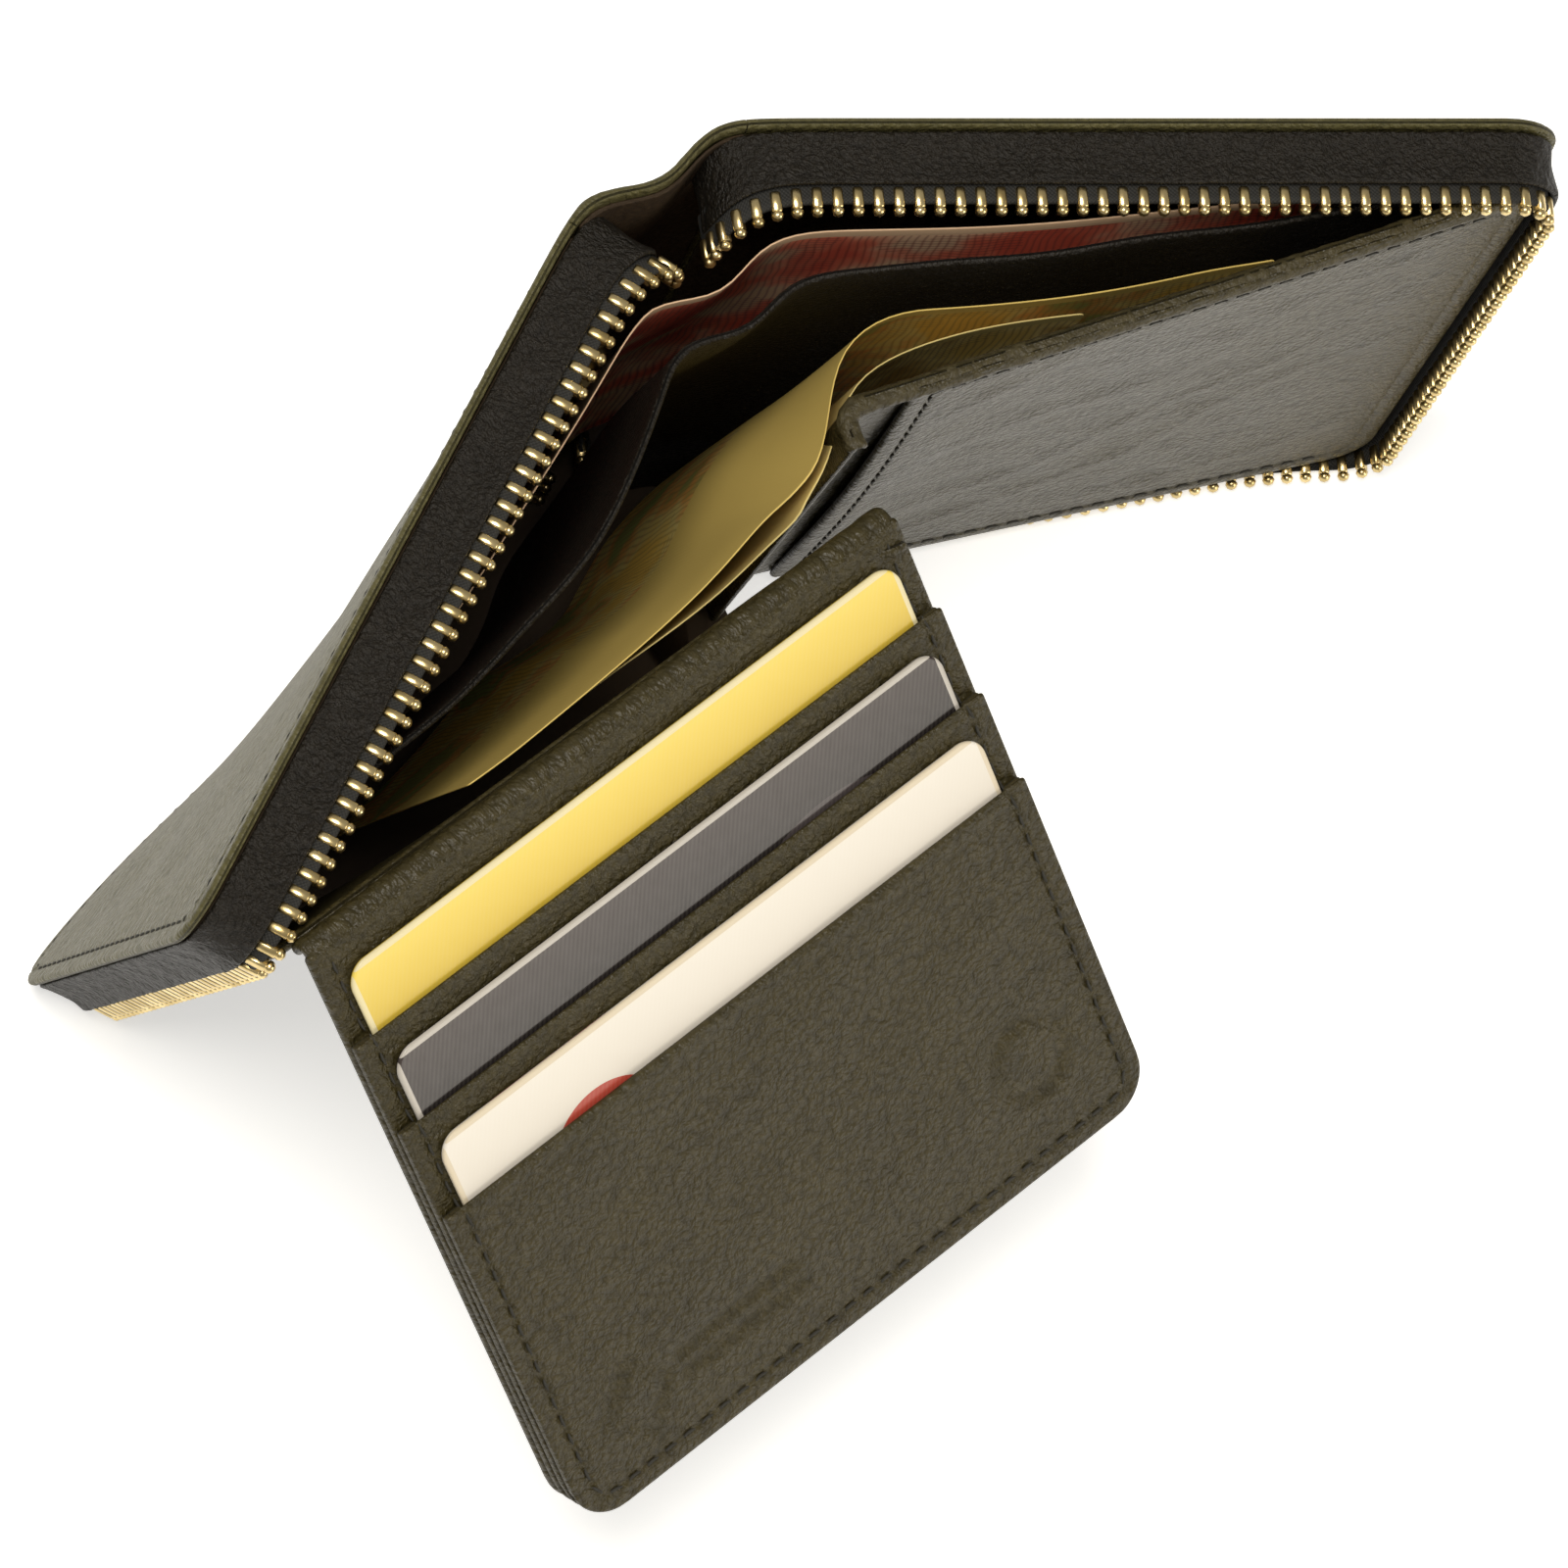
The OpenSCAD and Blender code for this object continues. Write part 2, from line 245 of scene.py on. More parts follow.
@dataclass(frozen=True)
class Splay:
    """How far the soft halves spread at their lower edges as the wallet stands.

    Args:
        left_x: Shift of the left free end's foot.
        left_y: Shift of the left free end's foot.
        right_y: Shift of the right half's foot near the spine.
        sag: How far the top of the spine sinks inwards between its creases.
        tuck: How far the pocket's foot tucks back for each millimetre from its free end.
    """

    left_x: float = -7.0
    left_y: float = 26.0
    right_y: float = -7.0
    sag: float = 5.0
    tuck: float = 0.115

    def apply(self, points: Points) -> Points:
        """Points moved to where the soft leather stands."""
        moved = points.copy()
        height = np.clip(1.0 - points[..., 2] / COVER_HEIGHT, 0.0, 1.0)
        on_left = LEFT.local(points)
        along = smooth(np.clip(on_left[..., 0] / COVER_LENGTH, 0.0, 1.15) * 0.87)
        moved[..., 0] += self.left_x * along * height
        moved[..., 1] += self.left_y * along * height
        u = RIGHT.local(points)[..., 0]
        bulge = smooth((u - 4.0) / 28.0) * (1.0 - smooth((u - 40.0) / 56.0))
        moved[..., 1] += self.right_y * bulge * height ** 1.5
        inward = np.array([-LEAD[0], LEAD[1]])
        middle = np.array([-10.4, -6.0])
        beside = (DRAFT.local(points)[..., :2] - middle) @ np.array([-LEAD[1], -LEAD[0]])
        depth = self.sag * np.exp(-((beside / 7.5) ** 2)) * smooth((points[..., 2] - 48.0) / 44.0)
        moved[..., :2] += depth[..., None] * inward
        return moved

    def pocket(self, points: Points) -> Points:
        """Points of the right pocket, whose foot tucks back towards its cover."""
        moved = points.copy()
        height = np.clip(1.0 - points[..., 2] / COVER_HEIGHT, 0.0, 1.0)
        moved[..., 1] += self.tuck * np.clip(POCKET.local(points)[..., 0], 0.0, 200.0) * height
        return moved


SPLAY = Splay()


@dataclass
class Track:
    """A smooth line in a plane, with its own length and sideways direction.

    Args:
        points: The points it passes, two numbers each.
    """

    points: Points

    def __post_init__(self) -> None:
        """Works out the distance and the sideways direction at each point."""
        gaps = np.linalg.norm(np.diff(self.points, axis=0), axis=1)
        keep = np.concatenate([[True], gaps > 1e-6])
        self.points = self.points[keep]
        gaps = np.linalg.norm(np.diff(self.points, axis=0), axis=1)
        self.distance = np.concatenate([[0.0], np.cumsum(gaps)])
        heading = np.gradient(self.points, axis=0)
        heading /= np.linalg.norm(heading, axis=1)[:, None]
        self.side = np.stack([-heading[:, 1], heading[:, 0]], axis=1)

    @property
    def length(self) -> float:
        """Length of the line."""
        return float(self.distance[-1])

    def at(self, along: Points, out: Any = 0.0) -> tuple[Points, Points]:
        """The two coordinates at a distance along the line and a distance to its left."""
        a = np.interp(along, self.distance, self.points[:, 0])
        b = np.interp(along, self.distance, self.points[:, 1])
        side_a = np.interp(along, self.distance, self.side[:, 0])
        side_b = np.interp(along, self.distance, self.side[:, 1])
        return a + out * side_a, b + out * side_b


def bezier(corners: Sequence[Sequence[float]], count: int = 24) -> Points:
    """Points of a cubic curve."""
    p = np.array(corners, float)
    t = np.linspace(0.0, 1.0, count)[:, None]
    return (1 - t) ** 3 * p[0] + 3 * (1 - t) ** 2 * t * p[1] + 3 * (1 - t) * t * t * p[2] + t ** 3 * p[3]


def arc(centre: Sequence[float], radius: float, start: float, end: float, count: int = 12) -> Points:
    """Points of an arc, from one angle to another in degrees."""
    a = np.radians(np.linspace(start, end, count))
    return np.array(centre, float) + radius * np.stack([np.cos(a), np.sin(a)], axis=1)


def rim_track(inset: float, curl: float) -> Track:
    """The line round a half's three open sides, curling into the spine at both ends.

    Args:
        inset: Distance inside the cover's edge.
        curl: How far the line goes on past the spine crease.

    Returns:
        The line in the plane of the cover.
    """
    e = COVER_LENGTH - CORNER
    r = CORNER - inset
    top = RIM_TOP - inset
    low = inset
    head = bezier([(-curl, top - 2.0 * curl), (-curl, top - 0.4 * curl), (-0.5 * curl, top), (7.0, top)])
    foot = bezier([(7.0, low), (-0.5 * curl, low), (-curl, low + 0.4 * curl), (-curl, low + 2.0 * curl)])
    straight_top = np.linspace((7.0, top), (e, top), 40)
    straight_low = np.linspace((e, low), (7.0, low), 40)
    run = [
        head, straight_top, arc((e, RIM_TOP - CORNER), r, 90, 0),
        arc((e, CORNER), r, 0, -90), straight_low, foot,
    ]
    return Track(np.concatenate(run))


def write_mesh(name: str, points: Points, faces: Any, uv: Optional[Points] = None,
               closed: bool = True) -> bpy.types.Object:
    """An object from points in millimetres.

    Args:
        name: The piece's name.
        points: Its points, one row each.
        faces: Its faces, as rows of point numbers.
        uv: A surface coordinate for each point.
        closed: Whether it is a closed shell, whose faces are then turned outwards.

    Returns:
        The object, at the origin.
    """
    mesh = bpy.data.meshes.new(name)
    mesh.from_pydata((points * MM).tolist(), [], np.asarray(faces).tolist())
    if uv is not None:
        layer = mesh.uv_layers.new(name="surface")
        index = np.empty(len(mesh.loops), dtype=np.int32)
        mesh.loops.foreach_get("vertex_index", index)
        layer.data.foreach_set("uv", (uv[index] * UV_PER_MM).astype(np.float32).ravel())
    if closed:
        work = bmesh.new()
        work.from_mesh(mesh)
        bmesh.ops.recalc_face_normals(work, faces=work.faces)
        work.to_mesh(mesh)
        work.free()
    mesh.polygons.foreach_set("use_smooth", [True] * len(mesh.polygons))
    mesh.update()
    piece = bpy.data.objects.new(name, mesh)
    bpy.context.scene.collection.objects.link(piece)
    return piece


RIM_LINES = (0.0, 0.08, 0.22, 0.42, 0.7, 1.1, 1.6, 2.05, 2.4, 2.7, 3.0, 3.35, 3.9, 4.8, 6.2, 8.0)
BUTT = 8.0


@dataclass
class Plate:
    """A sheet of leather, card or film with rounded edges, drawn on a fine grid.

    Args:
        width: Its size along the first surface direction.
        height: Its size along the second surface direction.
        thickness: Its thickness.
        corners: Corner radii, in order round the outline from its first corner.
        step: Size of a grid square away from the edges.
        edge: Distance over which the edge rounds off.
        butt: Sides that meet a neighbour and are cut square, from "w", "e", "s" and "n".
    """

    width: float
    height: float
    thickness: float
    corners: tuple[float, float, float, float] = (0.5, 0.5, 0.5, 0.5)
    step: float = 1.6
    edge: float = 0.7
    butt: str = ""

    def lines(self, size: float) -> Points:
        """Grid lines across one direction, close together near both edges."""
        near = [v for v in RIM_LINES if v < size / 2.0 - 0.1]
        count = max(2, int(math.ceil((size - 2.0 * near[-1]) / self.step)) + 1)
        middle = np.linspace(near[-1], size - near[-1], count)
        return np.concatenate([near[:-1], middle, [size - v for v in reversed(near[:-1])]])

    def rounded(self, x: Points, y: Points) -> tuple[Points, Points]:
        """Grid points moved so that the outline's corners are round."""
        x, y = x.copy(), y.copy()
        spots = ((0, 0), (1, 0), (1, 1), (0, 1))
        for (at_x, at_y), radius in zip(spots, self.corners):
            centre_x = self.width - radius if at_x else radius
            centre_y = self.height - radius if at_y else radius
            dx = (x - centre_x) * (1 if at_x else -1)
            dy = (y - centre_y) * (1 if at_y else -1)
            inside = (dx > 0) & (dy > 0)
            far = np.where(inside, np.maximum(dx, dy), 1.0)
            reach = np.where(inside, np.hypot(dx, dy), 1.0)
            scale = np.where(inside, far / np.maximum(reach, 1e-9), 1.0)
            x = np.where(inside, centre_x + (x - centre_x) * scale, x)
            y = np.where(inside, centre_y + (y - centre_y) * scale, y)
        return x, y

    def make(self, name: str, place: Place, front: Optional[Relief] = None,
             back: Optional[Relief] = None) -> bpy.types.Object:
        """Builds the sheet.

        Args:
            name: The piece's name.
            place: Gives the point for two surface coordinates and a height over the middle of the sheet.
            front: Extra height of the front for surface coordinates and distance to the edge.
            back: Extra height of the back, likewise.

        Returns:
            The finished object.
        """
        gx, gy = np.meshgrid(self.lines(self.width), self.lines(self.height), indexing="ij")
        rows, columns = gx.shape
        sides = {"w": gx, "e": self.width - gx, "s": gy, "n": self.height - gy}
        inset = np.minimum.reduce([v * (BUTT if k in self.butt else 1.0) for k, v in sides.items()])
        x, y = self.rounded(gx, gy)
        share = np.sqrt(np.clip(1.0 - (1.0 - np.clip(inset / self.edge, 0.0, 1.0)) ** 2, 0.0, 1.0))
        half = self.thickness / 2.0
        top = share * (half + (front(x, y, inset) if front else 0.0))
        low = -share * (half - (back(x, y, inset) if back else 0.0))
        upper = place(x, y, top).reshape(-1, 3)
        lower = place(x, y, low).reshape(-1, 3)
        number = np.arange(rows * columns).reshape(rows, columns)
        inner = number[1:-1, 1:-1].ravel()
        under = number.copy()
        under[1:-1, 1:-1] = (rows * columns + np.arange(inner.size)).reshape(rows - 2, columns - 2)

        def quads(grid: Points, flip: bool) -> Points:
            """Faces of one side."""
            a, b, c, d = grid[:-1, :-1], grid[1:, :-1], grid[1:, 1:], grid[:-1, 1:]
            order = (a, d, c, b) if flip else (a, b, c, d)
            return np.stack([v.ravel() for v in order], axis=1)

        points = np.concatenate([upper, lower[inner]])
        surface = np.stack([x.ravel(), y.ravel()], axis=1)
        surface = np.concatenate([surface, surface[inner] + [7.0, 31.0]])
        faces = np.concatenate([quads(number, False), quads(under, True)])
        return write_mesh(name, points, faces, surface)


def groove(inset: Points, at: float = STITCH_INSET, depth: float = 0.22, width: float = 0.35) -> Points:
    """The shallow channel that a row of stitches pulls into leather."""
    return -depth * np.exp(-(((inset - at) / width) ** 2))


def padded_edge(inset: Points, height: float = 0.25) -> Points:
    """The slight swell of a turned edge, outside its stitches."""
    return height * np.exp(-(((inset - 1.5) / 0.9) ** 2))


# ---------------------------------------------------------------- shader maths
Value = Union["Socket", float]


class Socket:
    """An output of a shader node that takes part in sums."""

    def __init__(self, shader: "Shader", link: Any) -> None:
        """Keeps the shader and the output."""
        self.shader = shader
        self.link = link

    def _sum(self, operation: str, first: Any, second: Any = 0.0) -> "Socket":
        """One Math node."""
        return self.shader.node("ShaderNodeMath", {"operation": operation}, {0: first, 1: second})

    def __add__(self, other: Value) -> "Socket":
        """Sum."""
        return self._sum("ADD", self, other)

    __radd__ = __add__

    def __mul__(self, other: Value) -> "Socket":
        """Product."""
        return self._sum("MULTIPLY", self, other)

    __rmul__ = __mul__

    def __sub__(self, other: Value) -> "Socket":
        """Difference."""
        return self._sum("SUBTRACT", self, other)

    def __rsub__(self, other: Value) -> "Socket":
        """Difference from a number."""
        return self._sum("SUBTRACT", other, self)

    def __gt__(self, other: Value) -> "Socket":
        """1 where greater."""
        return self._sum("GREATER_THAN", self, other)

    def __lt__(self, other: Value) -> "Socket":
        """1 where less."""
        return self._sum("LESS_THAN", self, other)

    def __pow__(self, other: Value) -> "Socket":
        """Power."""
        return self._sum("POWER", self, other)

    def least(self, other: Value) -> "Socket":
        """The smaller of two."""
        return self._sum("MINIMUM", self, other)

    def sine(self) -> "Socket":
        """Sine."""
        return self._sum("SINE", self)


class Shader:
    """A material's nodes."""

    def __init__(self, name: str) -> None:
        """Starts a material with one Principled shader."""
        self.material = bpy.data.materials.new(name)
        self.material.use_nodes = True
        self.tree = self.material.node_tree
        self.surface = self.tree.nodes["Principled BSDF"]

    def node(self, kind: str, settings: dict[str, Any], values: dict[Any, Any], output: Any = 0) -> Socket:
        """Adds a node.

        Args:
            kind: The node's type.
            settings: Its settings, set first; "stops" fills a colour ramp.
            values: A number, colour or link for each input.
            output: Which output is wanted.

        Returns:
            That output.
        """
        made = self.tree.nodes.new(kind)
        for key, value in settings.items():
            if key == "stops":
                self.fill_ramp(made, value)
            else:
                setattr(made, key, value)
        for key, value in values.items():
            self.feed(made.inputs[key], value)
        return Socket(self, made.outputs[output])

    @staticmethod
    def fill_ramp(made: Any, stops: Sequence[tuple[float, tuple[float, ...]]]) -> None:
        """Sets the stops of a colour ramp."""
        ramp = made.color_ramp
        while len(ramp.elements) < len(stops):
            ramp.elements.new(0.5)
        for element, (position, colour) in zip(ramp.elements, stops):
            element.position = position
            element.color = (*colour[:3], 1.0)

    def feed(self, target: Any, value: Any) -> None:
        """Sets or links one input."""
        if isinstance(value, Socket):
            self.tree.links.new(value.link, target)
        elif isinstance(value, tuple) and len(value) == 3 and target.type == "RGBA":
            target.default_value = (*value, 1.0)
        else:
            target.default_value = value

    def uv(self) -> Socket:
        """The piece's surface coordinate."""
        return self.node("ShaderNodeTexCoord", {}, {}, "UV")

    def place(self) -> Socket:
        """The piece's own coordinates."""
        return self.node("ShaderNodeTexCoord", {}, {}, "Object")

    def noise(self, where: Socket, scale: float, detail: float = 3.0, rough: float = 0.55) -> Socket:
        """Cloudy noise from 0 to 1."""
        return self.node(
            "ShaderNodeTexNoise", {}, {"Vector": where, "Scale": scale, "Detail": detail, "Roughness": rough}
        )

    def cells(self, where: Socket, scale: float) -> Socket:
        """Distance to the nearest of many scattered points."""
        return self.node("ShaderNodeTexVoronoi", {"feature": "F1"}, {"Vector": where, "Scale": scale})

    def parts(self, where: Socket) -> tuple[Socket, Socket]:
        """The first two numbers of a vector."""
        split = self.tree.nodes.new("ShaderNodeSeparateXYZ")
        self.feed(split.inputs[0], where)
        return Socket(self, split.outputs[0]), Socket(self, split.outputs[1])

    def mix(self, share: Any, first: Any, second: Any) -> Socket:
        """A mix of two colours."""
        made = self.tree.nodes.new("ShaderNodeMix")
        made.data_type = "RGBA"
        self.feed(made.inputs[0], share)
        self.feed(made.inputs[6], first)
        self.feed(made.inputs[7], second)
        return Socket(self, made.outputs[2])

    def ramp(self, share: Socket, stops: Sequence[tuple[float, tuple[float, ...]]]) -> Socket:
        """A colour ramp."""
        return self.node("ShaderNodeValToRGB", {"stops": stops}, {0: share})

    def bump(self, height: Socket, strength: float, distance: float,
             under: Optional[Socket] = None) -> Socket:
        """A bumped normal."""
        values: dict[Any, Any] = {"Height": height, "Strength": strength, "Distance": distance}
        if under is not None:
            values["Normal"] = under
        return self.node("ShaderNodeBump", {}, values)

    def finish(self, **values: Any) -> bpy.types.Material:
        """Feeds the Principled shader, by input name with underscores for spaces."""
        for key, value in values.items():
            self.feed(self.surface.inputs[key.replace("_", " ")], value)
        return self.material


@dataclass(frozen=True)
class LeatherFinish:
    """Grained leather.

    Args:
        name: The material's name.
        dark: Colour in the hollows of the grain.
        base: Main colour.
        light: Colour where the surface is rubbed.
        rough: Roughness of the rubbed surface.
        grain: Height of the grain.
        pebble: Number of grain cells over a tenth of a metre.
    """

    name: str
    dark: tuple[float, float, float]
    base: tuple[float, float, float]
    light: tuple[float, float, float]
    rough: float = 0.42
    grain: float = 1.0
    pebble: float = 105.0

    def build(self) -> bpy.types.Material:
        """The material."""
        s = Shader(self.name)
        uv = s.uv()
        bend = s.noise(uv, 22.0, 2.0)
        shift = s.node("ShaderNodeVectorMath", {"operation": "SCALE"}, {0: bend, "Scale": 0.02})
        warped = s.node("ShaderNodeVectorMath", {"operation": "ADD"}, {0: uv, 1: shift})
        pebble = s.cells(warped, self.pebble)
        fine = s.cells(warped, self.pebble * 2.3)
        pore = s.noise(uv, self.pebble * 4.0, 2.0)
        cloud = s.noise(uv, 5.0, 4.0, 0.6)
        streak = s.noise(uv, 28.0, 3.0)
        height = pebble * -0.7 + fine * -0.35 + pore * 0.25
        worn = s.mix(cloud, self.base, self.light)
        hollow = s.node("ShaderNodeClamp", {}, {0: pebble * 0.7 + streak * 0.3 - 0.25})
        colour = s.mix(hollow, worn, self.dark)
        roughness = self.rough + pebble * 0.12 + (cloud - 0.5) * 0.12
        normal = s.bump(height, self.grain, 0.0004)
        wrinkle = s.noise(uv, 14.0, 3.0, 0.65)
        normal = s.bump(wrinkle, 0.12 * self.grain, 0.002, normal)
        s.surface.inputs["Specular IOR Level"].default_value = 0.26
        return s.finish(Base_Color=colour, Roughness=roughness, Normal=normal)


@dataclass(frozen=True)
class MetalFinish:
    """Polished metal with faint tarnish.

    Args:
        name: The material's name.
        base: Clean colour.
        tarnish: Colour of the tarnish.
        rough: Roughness.
    """

    name: str
    base: tuple[float, float, float]
    tarnish: tuple[float, float, float]
    rough: float = 0.2

    def build(self) -> bpy.types.Material:
        """The material."""
        s = Shader(self.name)
        where = s.place()
        cloud = s.noise(where, 260.0, 3.0)
        fine = s.noise(where, 1800.0, 2.0)
        colour = s.ramp(cloud, [(0.3, self.base), (0.72, self.tarnish)])
        s.surface.inputs["Metallic"].default_value = 1.0
        return s.finish(
            Base_Color=colour, Roughness=self.rough + cloud * 0.18, Normal=s.bump(fine, 0.08, 0.0002)
        )


@dataclass(frozen=True)
class ClothFinish:
    """Woven tape or thread.

    Args:
        name: The material's name.
        base: Main colour.
        light: Colour on the crown of a yarn.
        count: Yarns over a tenth of a metre.
    """

    name: str
    base: tuple[float, float, float]
    light: tuple[float, float, float]
    count: float = 190.0

    def build(self) -> bpy.types.Material:
        """The material."""
        s = Shader(self.name)
        x, y = s.parts(s.uv())
        turn = self.count * 2.0 * math.pi
        weave = ((x + y) * turn).sine() * 0.5 + ((x - y) * turn).sine() * 0.5
        crown = weave * 0.5 + 0.5
        return s.finish(
            Base_Color=s.mix(crown, self.base, self.light),
            Roughness=0.85 - crown * 0.1,
            Normal=s.bump(crown, 0.5, 0.0002),
        )


@dataclass(frozen=True)
class CardFinish:
    """A printed plastic card with a pale cut rim.

    Args:
        name: The material's name.
        print_top: Colour near the card's upper edge.
        print_low: Colour further down.
        rim: Colour of the cut rim.
        accent: Colour of a plain curved band low on the card.
        band: Centre and radius of that band, in millimetres.
        rough: Roughness.
    """

    name: str
    print_top: tuple[float, float, float]
    print_low: tuple[float, float, float]
    rim: tuple[float, float, float]
    accent: tuple[float, float, float]
    band: tuple[float, float, float]
    rough: float = 0.25

    def build(self) -> bpy.types.Material:
        """The material."""
        s = Shader(self.name)
        uv = s.uv()
        x, y = s.parts(uv)
        fade = s.node("ShaderNodeClamp", {}, {0: (y * 100.0 - 1.0) * (1.0 / 9.0)})
        cloud = s.noise(uv, 9.0, 3.0)
        lower = s.mix(cloud * 0.35, self.print_low, self.print_top)
        colour = s.mix(fade, self.print_top, lower)
        cx, cy, radius = self.band
        dx = x * 100.0 - cx
        dy = y * 100.0 - cy
        reach = (dx * dx + dy * dy) ** 0.5
        colour = s.mix((reach < radius) * (reach > radius * 0.55), colour, self.accent)
        lines = ((x * 900.0 + y * 500.0).sine() * 0.5 + 0.5) * 0.05
        colour = s.mix(lines, colour, self.rim)
        edge = x.least(CARD_WIDTH * UV_PER_MM - x).least(y).least(CARD_HEIGHT * UV_PER_MM - y)
        colour = s.mix(edge < 0.0075, colour, self.rim)
        scuff = s.noise(uv, 60.0, 4.0)
        s.surface.inputs["Specular IOR Level"].default_value = 0.25
        return s.finish(
            Base_Color=colour, Roughness=self.rough + scuff * 0.12, Normal=s.bump(scuff, 0.03, 0.0002)
        )


@dataclass(frozen=True)
class NoteFinish:
    """Printed film with blurred fields of colour and fine engraved lines.

    Args:
        name: The material's name.
        field: Colours of the broad fields.
        ink: Colour of the fine lines.
        edge: Colour of the plain border along the top.
        border: Width of that border in millimetres.
    """

    name: str
    field: tuple[tuple[float, float, float], ...]
    ink: tuple[float, float, float]
    edge: tuple[float, float, float]
    border: float = 2.0

    def build(self) -> bpy.types.Material:
        """The material."""
        s = Shader(self.name)
        uv = s.uv()
        x, y = s.parts(uv)
        cloud = s.noise(uv, 6.5, 3.0, 0.55)
        stops = [(0.4 + 0.2 * i / max(1, len(self.field) - 1), c) for i, c in enumerate(self.field)]
        colour = s.ramp(cloud, stops)
        wobble = s.noise(uv, 12.0, 1.0)
        lines = ((x * 620.0 + wobble * 14.0).sine() * 0.5 + 0.5) ** 3.0
        rings = ((y * 800.0 + wobble * 22.0).sine() * 0.5 + 0.5) ** 4.0
        patch = s.noise(uv, 7.0, 2.0) > 0.52
        colour = s.mix(lines * 0.55, colour, self.ink)
        colour = s.mix(rings * patch * 0.6, colour, self.ink)
        top = NOTE_HEIGHT * UV_PER_MM - y
        colour = s.mix(top < self.border * UV_PER_MM, colour, self.edge)
        return s.finish(Base_Color=colour, Roughness=0.38 + cloud * 0.15, Normal=s.bump(lines, 0.04, 0.0001))


class Finishes:
    """All the wallet's materials."""

    def __init__(self) -> None:
        """Builds each material once."""
        self.outer = LeatherFinish(
            "outer_leather", (0.034, 0.030, 0.010), (0.080, 0.071, 0.025), (0.118, 0.104, 0.040), 0.42
        ).build()
        self.inner = LeatherFinish(
            "inner_leather", (0.010, 0.008, 0.002), (0.030, 0.0235, 0.0075), (0.062, 0.049, 0.018), 0.31
        ).build()
        self.edge = LeatherFinish(
            "turned_edge", (0.016, 0.012, 0.004), (0.040, 0.032, 0.012), (0.074, 0.060, 0.028), 0.38, 0.8
        ).build()
        self.lining = LeatherFinish(
            "lining_leather", (0.012, 0.007, 0.004), (0.034, 0.021, 0.010), (0.054, 0.034, 0.016), 0.6, 0.5
        ).build()
        self.gusset = LeatherFinish(
            "gusset_leather", (0.003, 0.0024, 0.0015), (0.009, 0.007, 0.004), (0.017, 0.013, 0.008),
            0.46, 1.3, 140.0,
        ).build()
        self.tape = ClothFinish("zip_tape", (0.006, 0.006, 0.005), (0.016, 0.015, 0.012)).build()
        self.thread = ClothFinish("thread", (0.010, 0.009, 0.006), (0.030, 0.027, 0.018), 500.0).build()
        self.metal = MetalFinish("zip_metal", (0.80, 0.64, 0.33), (0.46, 0.34, 0.14)).build()
        self.card_yellow = CardFinish(
            "card_yellow", (0.72, 0.55, 0.10), (0.52, 0.35, 0.02), (0.66, 0.58, 0.34),
            (0.62, 0.47, 0.06), (60.0, 54.0, 26.0),
        ).build()
        self.card_grey = CardFinish(
            "card_grey", (0.034, 0.025, 0.023), (0.006, 0.005, 0.005), (0.42, 0.39, 0.34),
            (0.05, 0.04, 0.04), (64.0, 30.0, 22.0), 0.16,
        ).build()
        self.card_white = CardFinish(
            "card_white", (0.70, 0.66, 0.58), (0.62, 0.57, 0.49), (0.60, 0.52, 0.38),
            (0.40, 0.05, 0.03), (21.0, 17.0, 9.5),
        ).build()
        self.note_red = NoteFinish(
            "note_red", ((0.72, 0.12, 0.07), (0.80, 0.22, 0.13), (0.78, 0.52, 0.33)),
            (0.24, 0.04, 0.035), (0.62, 0.42, 0.26),
        ).build()
        self.note_gold = NoteFinish(
            "note_gold", ((0.78, 0.50, 0.10), (0.72, 0.58, 0.20), (0.74, 0.36, 0.09), (0.34, 0.36, 0.10)),
            (0.30, 0.18, 0.04), (0.66, 0.48, 0.13),
        ).build()
        self.note_brown = NoteFinish(
            "note_brown", ((0.70, 0.50, 0.14), (0.80, 0.64, 0.26), (0.48, 0.30, 0.08)),
            (0.20, 0.12, 0.03), (0.60, 0.48, 0.18),
        ).build()


def dress(piece: bpy.types.Object, material: bpy.types.Material) -> bpy.types.Object:
    """Gives a piece its material.

    Args:
        piece: The piece.
        material: Its material.

    Returns:
        The same piece.
    """
    piece.data.materials.clear()
    piece.data.materials.append(material)
    LOG.info("%s: %d faces", piece.name, len(piece.data.polygons))
    return piece


